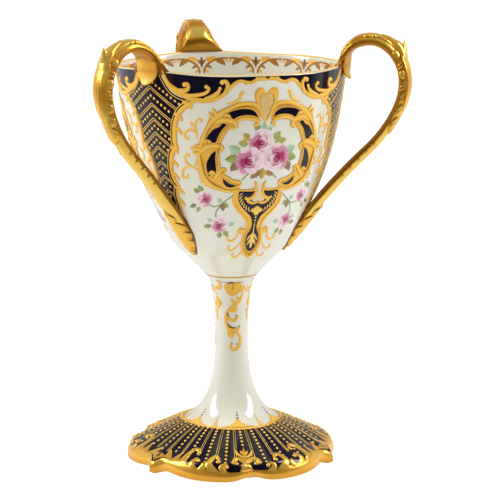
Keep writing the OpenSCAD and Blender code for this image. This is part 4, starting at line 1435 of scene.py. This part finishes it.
# Its scrolls and leaves: a line, widths, height and the bead that ends it
FOOT_SCROLLS = [
    ([(0, 0.98), (2, 0.93), (4.5, 0.89), (6.8, 0.91), (8, 0.98), (7.2, 1.06), (6, 1.04)],
     [2.8, 2.6, 2.3, 2.0, 1.8, 1.5, 1.2], 0.9, 1.0),
    ([(1.6, 1.8), (1, 1.5), (0.8, 1.2), (0.6, 0.98)], [6.0, 4.0, 3.2, 2.6], 0.8, 0),
    ([(11, 1.8), (13, 1.6), (14.6, 1.42), (14.9, 1.26), (13.8, 1.16), (12, 1.19), (11.8, 1.28)],
     [4.4, 3.6, 2.9, 2.4, 2.0, 1.6, 1.3], 1.0, 0.9),
    ([(17.6, 1.8), (19.8, 1.54), (21.8, 1.3), (22.8, 1.08), (22, 0.93), (19.8, 0.86), (17.6, 0.89),
      (17, 0.98)],
     [6.6, 5.0, 3.9, 3.1, 2.6, 2.2, 1.8, 1.5], 1.1, 1.1),
    ([(28.2, 1.8), (26.6, 1.5), (26, 1.26), (26.6, 1.06)], [5.2, 4.2, 2.8, 0.6], 0.9, 0),
    ([(30.4, 1.8), (32.2, 1.46), (33.4, 1.2), (33, 1.02), (31.4, 0.94), (29.8, 0.98)],
     [6.4, 4.8, 3.4, 2.6, 2.1, 1.5], 1.0, 1.0),
    ([(38, 1.8), (39.6, 1.3), (39.8, 0.98), (38.4, 0.8), (35.4, 0.71), (32.4, 0.73), (31.8, 0.79)],
     [8.6, 6.2, 4.5, 3.4, 2.7, 2.1, 1.5], 1.1, 1.1),
    ([(46.4, 1.8), (46.6, 1.3), (45.8, 0.98), (44.2, 0.82)], [8.0, 6.0, 3.2, 0.6], 0.9, 0),
    ([(51.4, 1.8), (51.8, 1.26), (53.2, 0.97), (56, 0.79)], [8.0, 6.2, 3.6, 0.6], 0.9, 0),
    ([(55.6, 1.7), (56.6, 1.2), (59, 0.9)], [5.4, 4.2, 0.7], 0.8, 0),
]
# How much of a scroll's height stands above the band
FOOT_RELIEF = 0.35
FOOT_CREASE = [(60, 1.4), (58.8, 1.27), (56.4, 1.15), (53.4, 1.08)]
# Half the knob on the border of the cobalt against the stem
TREFOIL = [
    (0, 4.9), (1.2, 4.6), (1.7, 3.5), (1.5, 2.6), (2.6, 2.9), (3.6, 2.1), (3.8, 1.1), (5.2, 1.1),
    (6.8, 0.5), (8, 0), (0, -0.4),
]
FOOT_FLEUR = [
    ([(0, 0.87), (0, 0.74), (0, 0.6)], [0.9, 2.4, 0.5]),
    ([(0.3, 0.85), (2.2, 0.83), (4, 0.79), (5.4, 0.73), (5.8, 0.68)], [0.9, 1.3, 1.5, 1.2, 0.5]),
    ([(0.3, 0.8), (1.6, 0.75), (2.6, 0.69)], [0.8, 1.2, 0.5]),
    ([(0, 0.89), (1.2, 0.9), (2, 0.88)], [0.9, 0.8, 0.5]),
]


def foot_rays(batch, surface):
    """Rows of dots and pairs of lines that run out from the stem."""
    pitch = 360 / FOOT_RAYS
    for k in range(FOOT_RAYS):
        turn = FOOT_START + pitch * k
        off = abs(third(turn, FOOT_NOTCH))
        # The row by the notch is short, and those by the tips are a little shorter than the rest
        end = 0.55 if off < 4 else 1.05 - 0.16 * float(eased(off, 26, 46))
        for s in np.arange(DOT_FIRST, end, DOT_PITCH):
            place = FootTop.flat([(turn, s)])[0]
            bead(batch, surface, place, 0.72 - 0.14 * s, 0.3, LIT, (FootTop.widen(turn, s), 1.0))
        # The lines nearest to the notch run farthest
        turn += pitch / 2
        off = abs(third(turn, FOOT_NOTCH))
        s = np.linspace(0.02, 1.04 - 0.18 * float(eased(off, 8, 16)), 40)
        r, _ = Foot(np.full(len(s), turn)).upper(s)
        for offset in (-0.45, 0.45):
            line = FootTop.flat(np.stack([turn + np.degrees(offset / r), s], 1))
            stroke(batch, surface, line, 0.3, 0.14, LIT, ready=True)


def foot_border(batch, surface):
    """The border of the cobalt against the stem, with trefoils and columns of beads."""
    turn = np.linspace(0, 360, 361)
    dip = 0.03 * np.cos(np.radians(3 * (turn - FOOT_NOTCH)))
    border = FootTop.flat(np.stack([turn, 0.02 + dip], 1))
    stroke(batch, surface, border, 2.0, 0.25, PLAIN, ready=True)
    rise = Flare(STEM_LINE)
    for k, turn in enumerate(full_turn(FOOT_KNOBS)):
        x = math.radians(FOOT_START + turn) * FLARE_R
        if k % 2 == 0:
            patch(batch, rise, both_sides(TREFOIL) + [x, 0], 0.04, 0.7, 0.75, 0.25, 0.8)
            for y, size in ((5.9, 0.65), (7.6, 0.55), (9.1, 0.45)):
                bead(batch, rise, (x, y), size, 0.2, (0.0, 0.1), (1.3, 1.0))
        else:
            for y, size in ((0.6, 1.6), (2.2, 1.3), (3.7, 1.0), (5, 0.8), (6.2, 0.6), (7.3, 0.4)):
                bead(batch, rise, (x, y), size, 0.2, PLAIN, (1.1, 0.45))


def foot_edge(batch, relief, surface):
    """Moulded scrolls and leaves along the edge, and painted fleurs over them."""
    for turn in full_turn(3):
        middle = FOOT_START + turn
        for side in (1, -1):
            spread = [side * (60 + FOOT_OFF * side) / 60, 1]
            place = [math.radians(middle) * FootTop.ROUND, 0]
            edge = smooth(FootTop.flat(FOOT_BAND), 0.5) * spread + place
            bottom = edge[[-1, 0]]
            bottom[:, 1] = -FootTop.down(np.array(FOOT_BAND_LOW))
            patch(relief, surface, np.vstack([edge, spaced(bottom, 0.6)]), 0.02, 0.8, 0.75, 0.4, 2.6, edge)
            for line, width, height, end in FOOT_SCROLLS:
                flat = smooth(FootTop.flat(line), 0.4) * spread + place
                crest = FOOT_RELIEF * height
                stroke(relief, surface, flat, width, [0, 0.25 * height, crest, crest], (0.6, 0.8), ready=True)
                if end:
                    bead(relief, surface, flat[-1], end, crest + 0.1, (0.6, 0.85))
            flat = smooth(FootTop.flat(FOOT_CREASE), 0.4) * spread + place
            stroke(relief, surface, flat, [1.8, 1.4, 1.2, 0.5], 0.1, (0, 0), lift=0.5, ready=True)
            for line, width in FOOT_FLEUR:
                flat = FootTop.flat(mirrored(line, side) + [middle, 0])
                stroke(batch, surface, flat, width, 0.3, PLAIN, 0.3)


def make_gilding():
    lines, foot_lines, foot_relief = Batch(), Batch(), Batch()
    lip_gilding(lines)
    inside_gilding(lines)
    stem_gilding(lines)
    lines.piece("rim_and_stem_gilding", GILDING, "gilding")
    surface = FootTop()
    foot_rays(foot_lines, surface)
    foot_border(foot_lines, surface)
    foot_edge(foot_lines, foot_relief, surface)
    foot_lines.piece("foot_gilding", GILDING, "gilding")
    # Painted shade on the moulded scrolls near the table
    foot_relief.paint_low_shade()
    foot_relief.piece("foot_scrolls", GOLD, "gilding")


# Painted roses and leaves: colours laid over one another on a fine field of points

def shade(red, green, blue):
    """A colour as it is seen, in the linear values that materials take."""
    c = np.array([red, green, blue], float) / 255
    return np.where(c <= 0.04045, c / 12.92, ((c + 0.055) / 1.055) ** 2.4)


GLAZE = np.array([0.79, 0.775, 0.657])
PALE, PINK, ROSE, DEEP = shade(240, 222, 222), shade(218, 150, 174), shade(190, 84, 124), shade(164, 46, 94)
MAGENTA = shade(136, 22, 66)
GREEN_PALE, GREEN, OLIVE = shade(168, 202, 172), shade(146, 168, 76), shade(122, 116, 34)
YELLOW, BROWN, STALK = shade(200, 160, 40), shade(128, 86, 34), shade(110, 118, 78)


# Petals of a rose: angle, distance from the middle, reach outwards and sideways, and colours
ROSE_PETALS = [
    (200, 0.6, 0.42, 0.5, DEEP, PINK), (250, 0.66, 0.38, 0.46, ROSE, PINK),
    (300, 0.66, 0.36, 0.48, PINK, PALE), (345, 0.68, 0.36, 0.42, PINK, PALE),
    (30, 0.66, 0.38, 0.5, PINK, PALE), (80, 0.64, 0.36, 0.46, PINK, PALE),
    (130, 0.64, 0.38, 0.46, ROSE, PALE), (165, 0.7, 0.3, 0.34, ROSE, PINK),
    (215, 0.36, 0.38, 0.46, MAGENTA, ROSE), (285, 0.4, 0.34, 0.46, DEEP, PALE),
    (350, 0.4, 0.34, 0.44, ROSE, PALE), (60, 0.36, 0.34, 0.46, ROSE, PALE),
    (135, 0.36, 0.34, 0.4, DEEP, PINK), (180, 0.14, 0.34, 0.3, MAGENTA, DEEP),
    (20, 0.16, 0.2, 0.26, ROSE, PALE), (290, 0.2, 0.16, 0.24, DEEP, PINK),
]
# Edges of the petals: from and to an angle, radius, width and colour
ROSE_EDGES = [
    (170, 250, 0.54, 0.08, DEEP), (262, 320, 0.52, 0.07, ROSE), (10, 60, 0.54, 0.05, ROSE),
    (95, 150, 0.54, 0.06, ROSE), (200, 300, 0.3, 0.09, MAGENTA), (318, 400, 0.32, 0.05, PALE),
    (40, 130, 0.22, 0.05, PALE),
]


class Painting:
    """A field of flat points that takes washes of colour."""

    def __init__(self, low, high):
        step = 0.2
        xs = np.arange(low[0], high[0] + step, step)
        zs = np.arange(low[1], high[1] + step, step)
        self.columns = len(xs)
        grid = np.meshgrid(xs, zs)
        self.flat = np.stack([g.ravel() for g in grid], 1)
        self.colour = np.tile(GLAZE, (len(self.flat), 1))
        self.cover = np.zeros(len(self.flat))

    def wash(self, amount, colour):
        """Lays a colour over what is there, by an amount for each point."""
        amount = np.clip(amount, 0, 1)
        self.colour += (np.asarray(colour) - self.colour) * amount[:, None]
        self.cover = np.maximum(self.cover, amount)

    def local(self, centre, turn):
        """The field's own coordinates about a centre, turned by degrees."""
        d = self.flat - centre
        c, s = math.cos(math.radians(turn)), math.sin(math.radians(turn))
        return d[:, 0] * c + d[:, 1] * s, -d[:, 0] * s + d[:, 1] * c

    def petal(self, centre, radii, turn, root, edge):
        """A petal that darkens from its outer edge, along its own x, to its root."""
        x, y = self.local(centre, turn)
        wave = 1 + 0.07 * np.sin(4 * np.arctan2(y, x) + turn)
        d = np.hypot(x / radii[0], y / radii[1]) * wave
        body = 0.96 * (1 - eased(d, 0.82, 1.06))
        depth = eased(x / radii[0], -0.9, 0.75)[:, None]
        tint = np.asarray(root) + (np.asarray(edge) - np.asarray(root)) * depth
        self.wash(body, tint)

    def leaf(self, start, end, width, colour, vein):
        start, end = np.asarray(start, float), np.asarray(end, float)
        length = np.linalg.norm(end - start)
        turn = math.degrees(math.atan2(end[1] - start[1], end[0] - start[0]))
        x, y = self.local(start, turn)
        t = np.clip(x / length, 0, 1)
        half = width / 2 * np.sin(np.pi * t ** 0.85) * (1 + 0.1 * np.sin(26 * t)) + 1e-6
        within = (x > 0) & (x < length)
        self.wash(within * 0.88 * (1 - eased(np.abs(y) / half, 0.75, 1.05)), colour)
        self.wash(within * 0.55 * (1 - eased(y / half, -0.7, 0.1)) * (np.abs(y) < half), vein)
        self.wash(within * 0.6 * (1 - eased(np.abs(y), 0.05, 0.22)) * (np.abs(y) < half), vein)

    def line(self, points, width, colour):
        for p in spaced(smooth(points, 0.3), 0.15):
            d = np.hypot(*(self.flat - p).T)
            self.wash(0.75 * (1 - eased(d, width * 0.3, width * 0.8)), colour)

    def rose(self, centre, size, turn, hand=1):
        """A full rose: outer petals, inner petals and a dark heart. A hand of -1 mirrors it."""
        centre = np.asarray(centre, float)
        self.petal(centre, (0.8 * size, 0.78 * size), 30 + turn, ROSE, PINK)
        for angle, off, out, wide, root, edge in ROSE_PETALS:
            heading = 90 + hand * (angle - 90) + turn
            a = math.radians(heading)
            place = centre + size * off * np.array([math.cos(a), math.sin(a)])
            self.petal(place, (out * size, wide * size), heading, root, edge)
        for first, last, radius, width, colour in ROSE_EDGES:
            a = np.radians(90 + hand * (np.linspace(first, last, 7) - 90) + turn)
            self.line(centre + size * radius * np.stack([np.cos(a), np.sin(a)], 1), width * size, colour)

    def piece(self, name, surface):
        """Makes a piece of the part of the field that has paint."""
        used = self.cover > 0.015
        faces = grid_faces(len(self.flat) // self.columns, self.columns, wrap=False)
        faces = faces[used[faces].any(1)]
        kept = np.unique(faces)
        order = np.full(len(self.flat), -1)
        order[kept] = np.arange(len(kept))
        points = surface(self.flat[kept], np.full(len(kept), 0.02))
        add_piece(name, points, order[faces], [ENAMEL], paint=self.colour[kept])


# Leaves: where they start and end, width, colour and the colour of the veins
BOUQUET_LEAVES = [
    ((-1.6, 168), (-5.4, 170), 3.6, GREEN, OLIVE),
    ((-1, 168), (-0.6, 172), 3.6, GREEN_PALE, GREEN),
    ((0.6, 168), (3.6, 169.4), 3.0, GREEN_PALE, GREEN),
    ((-7, 163.4), (-10, 167), 3.6, YELLOW, OLIVE),
    ((-7.4, 161.6), (-12.4, 162.6), 3.8, GREEN, YELLOW),
    ((4.4, 163.6), (8, 167.4), 4.0, GREEN, YELLOW),
    ((5, 162), (11.4, 163.6), 4.0, GREEN, YELLOW),
    ((-10.6, 157), (-16.6, 161.2), 4.6, GREEN_PALE, GREEN),
    ((-11, 155), (-18, 154.4), 4.6, GREEN, OLIVE),
    ((-11, 153), (-15, 148.8), 4.4, BROWN, OLIVE),
    ((11, 157.4), (16.6, 159.8), 4.4, GREEN_PALE, GREEN),
    ((12, 155.4), (17.8, 154), 4.4, GREEN, OLIVE),
    ((12, 153), (14.6, 147.8), 4.2, BROWN, OLIVE),
    ((-0.6, 149), (-5.4, 145), 3.8, BROWN, YELLOW),
    ((2, 149), (6, 146), 3.6, BROWN, YELLOW),
    ((0.4, 150), (0.4, 144.4), 3.8, YELLOW, BROWN),
]
SPRIG_LEAVES = [
    ((16, 133), (13.6, 130.4), 2.6, GREEN, OLIVE),
    ((16.4, 132.6), (15.8, 128.6), 2.8, OLIVE, BROWN),
    ((17, 133), (19.4, 135.4), 2.4, GREEN_PALE, GREEN),
    ((26.6, 138), (29.6, 141.4), 2.8, GREEN, OLIVE),
    ((28, 137.6), (31.6, 139.6), 2.6, OLIVE, GREEN),
    ((29, 131.4), (32.6, 130), 2.4, OLIVE, BROWN),
    ((27, 130.6), (28.6, 127.6), 2.4, GREEN, OLIVE),
    ((13, 121.6), (9.4, 122.8), 2.6, GREEN_PALE, GREEN),
    ((14, 118.6), (11.6, 115.6), 2.8, GREEN, OLIVE),
    ((16, 118), (15.6, 114.4), 2.6, OLIVE, YELLOW),
    ((20, 121), (24.4, 120.4), 2.6, OLIVE, GREEN),
    ((20, 123), (23, 124.6), 2.2, GREEN_PALE, GREEN),
]


def paint_bouquet():
    work = Painting((-19, 142.5), (19, 173.5))
    for leaf in BOUQUET_LEAVES:
        work.leaf(*leaf)
    work.line([(-5, 148.4), (-7, 146.6), (-9, 144.4)], 0.5, STALK)
    work.line([(4.6, 147.6), (6, 146.4), (7.6, 144.8)], 0.5, STALK)
    work.rose((-1.4, 163), 6.2, 20)
    work.rose((-6.2, 153.8), 6.8, -6)
    work.rose((6.2, 154.8), 7.2, 30, -1)
    return work


def paint_sprigs():
    work = Painting((-34, 112), (34, 142))
    for side in (1, -1):
        stalk = [(10, 139), (13.4, 135.6), (16.6, 132.6), (19, 128.4), (18.6, 124.6)]
        work.line(mirrored(stalk, side), 0.5, STALK)
        work.line(mirrored([(16.6, 132.4), (20, 131), (23.6, 132)], side), 0.45, STALK)
        for start, end, *look in SPRIG_LEAVES:
            work.leaf(mirrored(start, side), mirrored(end, side), *look)
        work.rose((side * 26, 134.6), 4.2, 10, side)
        work.rose((side * 16.4, 122), 4.3, 50, -side)
    return work


def make_roses():
    bouquet, sprigs = paint_bouquet(), paint_sprigs()
    for name, angle in PANELS.items():
        surface = Wall(BOWL_LINE, angle + PANEL_TURN)
        bouquet.piece("bouquet_" + name, surface)
        sprigs.piece("sprigs_" + name, surface)


def dress_joints():
    """The slip in the joints is gilt over by the handles and white under the stem."""
    dress = {
        "rim_slip_joints": GILDING,
        "leaf_slip_joints": GILDING,
        "stem_slip_joint": PORCELAIN,
        "foot_slip_joint": PORCELAIN,
    }
    for name, material in dress.items():
        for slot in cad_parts[name].material_slots:
            slot.material = material


make_bowl()
make_stem()
make_foot()
make_handles()
make_bowl_paint()
make_roses()
make_gilding()
dress_joints()


# Studio: a pale floor, soft boxes and the camera

CAMERA_TURN = -16.4
FRONT = (math.sin(math.radians(CAMERA_TURN)), -math.cos(math.radians(CAMERA_TURN)), 0)
SIDE = (-FRONT[1], FRONT[0], 0)
FLOOR_GLOW, PAPER_GLOW = 0.36, 0.86


def facing(tree, place, direction):
    """How far a place lies in a direction."""
    made = node(tree, "ShaderNodeVectorMath", operation="DOT_PRODUCT")
    made.inputs[1].default_value = direction
    tree.links.new(place, made.inputs[0])
    return made.outputs["Value"]


def math_node(tree, operation, one, other=None, value=None):
    made = node(tree, "ShaderNodeMath", operation=operation)
    tree.links.new(one, made.inputs[0])
    if other is not None:
        tree.links.new(other, made.inputs[1])
    if value is not None:
        made.inputs[1].default_value = value
    return made.outputs["Value"]


def make_floor():
    """White paper. In reflections it ends a little before the cup and to its sides, as a small table does."""
    mesh = bpy.data.meshes.new("floor")
    half = 12.0
    corners = [(-half, -half, 0), (half, -half, 0), (half, half, 0), (-half, half, 0)]
    mesh.from_pydata(corners, [], [(0, 1, 2, 3)])
    material, tree, shader = glossy("floor_paper", (0.9, 0.9, 0.9), 0.6)
    tone = ramp(tree, noise(tree, 3.0), [(0.3, (0.9, 0.9, 0.9)), (0.7, (0.92, 0.92, 0.92))])
    tree.links.new(tone, shader.inputs["Base Color"])
    shader.inputs["Emission Color"].default_value = (1, 1, 1, 1)
    path = node(tree, "ShaderNodeLightPath")
    seen = span(tree, path.outputs["Is Camera Ray"], FLOOR_GLOW, PAPER_GLOW)
    tree.links.new(seen, shader.inputs["Emission Strength"])
    place = node(tree, "ShaderNodeTexCoord").outputs["Object"]
    aside = math_node(tree, "ABSOLUTE", facing(tree, place, SIDE))
    reach = math_node(tree, "ADD", facing(tree, place, FRONT), math_node(tree, "MULTIPLY", aside, value=0.25))
    glow = node(tree, "ShaderNodeEmission")
    tree.links.new(span(tree, reach, 0.85, 0.03, 0.09, 0.24), glow.inputs["Strength"])
    blend = node(tree, "ShaderNodeMixShader")
    tree.links.new(path.outputs["Is Glossy Ray"], blend.inputs["Fac"])
    tree.links.new(shader.outputs["BSDF"], blend.inputs[1])
    tree.links.new(glow.outputs["Emission"], blend.inputs[2])
    tree.links.new(blend.outputs["Shader"], tree.nodes["Material Output"].inputs["Surface"])
    mesh.materials.append(material)
    floor = bpy.data.objects.new("floor", mesh)
    bpy.context.scene.collection.objects.link(floor)


def soft_box(name, turn, rise, size, watts, mirrored_too):
    """A lamp turned from the camera's side and raised, in degrees, that looks at the cup's middle."""
    distance, target = 0.8, (0, 0, 0.1)
    a, b = math.radians(CAMERA_TURN - 90 + turn), math.radians(rise)
    place = (
        distance * math.cos(a) * math.cos(b),
        distance * math.sin(a) * math.cos(b),
        target[2] + distance * math.sin(b),
    )
    light = bpy.data.lights.new(name, "AREA")
    light.shape = "RECTANGLE"
    light.size, light.size_y = size
    light.energy = watts
    made = bpy.data.objects.new(name, light)
    made.location = place
    made.visible_glossy = mirrored_too
    made.rotation_euler = (Vector(target) - Vector(place)).to_track_quat("-Z", "Y").to_euler()
    bpy.context.scene.collection.objects.link(made)


def make_world():
    world = bpy.data.worlds.new("studio")
    bpy.context.scene.world = world
    world.use_nodes = True
    tree = world.node_tree
    back = tree.nodes["Background"]
    place = node(tree, "ShaderNodeTexCoord").outputs["Generated"]
    round_about = ramp(tree, span(tree, facing(tree, place, FRONT), 0.0, 1.0, -1.0, 1.0), [
        (0.0, (1.0, 1.0, 1.0)),
        (0.52, (0.88, 0.88, 0.88)),
        (0.68, (0.16, 0.155, 0.15)),
        (1.0, (0.05, 0.05, 0.05)),
    ])
    overhead = ramp(tree, facing(tree, place, (0, 0, 1)), [(0.3, (1, 1, 1)), (0.75, (0.3, 0.3, 0.3))])
    mixed = node(tree, "ShaderNodeMix", data_type="RGBA", blend_type="MULTIPLY")
    mixed.inputs["Factor"].default_value = 1.0
    tree.links.new(round_about, mixed.inputs["A"])
    tree.links.new(overhead, mixed.inputs["B"])
    tree.links.new(mixed.outputs["Result"], back.inputs["Color"])
    back.inputs["Strength"].default_value = 0.58


def make_camera():
    distance, height = 1.0884, 0.3028
    pitch, pan = 10.398, 0.474
    data = bpy.data.cameras.new("camera")
    data.sensor_width = 36.0
    data.lens = 163.68
    data.clip_start, data.clip_end = 0.01, 60.0
    camera = bpy.data.objects.new("camera", data)
    a = math.radians(CAMERA_TURN)
    camera.location = (distance * math.sin(a), -distance * math.cos(a), height)
    camera.rotation_euler = (math.radians(90 - pitch), 0, math.radians(CAMERA_TURN - pan))
    bpy.context.scene.collection.objects.link(camera)
    bpy.context.scene.camera = camera


make_floor()
make_world()
soft_box("soft_box_right", 86, 37, (0.26, 0.62), 3.6, True)
soft_box("soft_box_left", -86, 37, (0.26, 0.62), 4.2, True)
soft_box("soft_box_front", 0, 60, (0.7, 0.5), 2.6, False)
make_camera()
bpy.context.scene.view_settings.view_transform = "Standard"
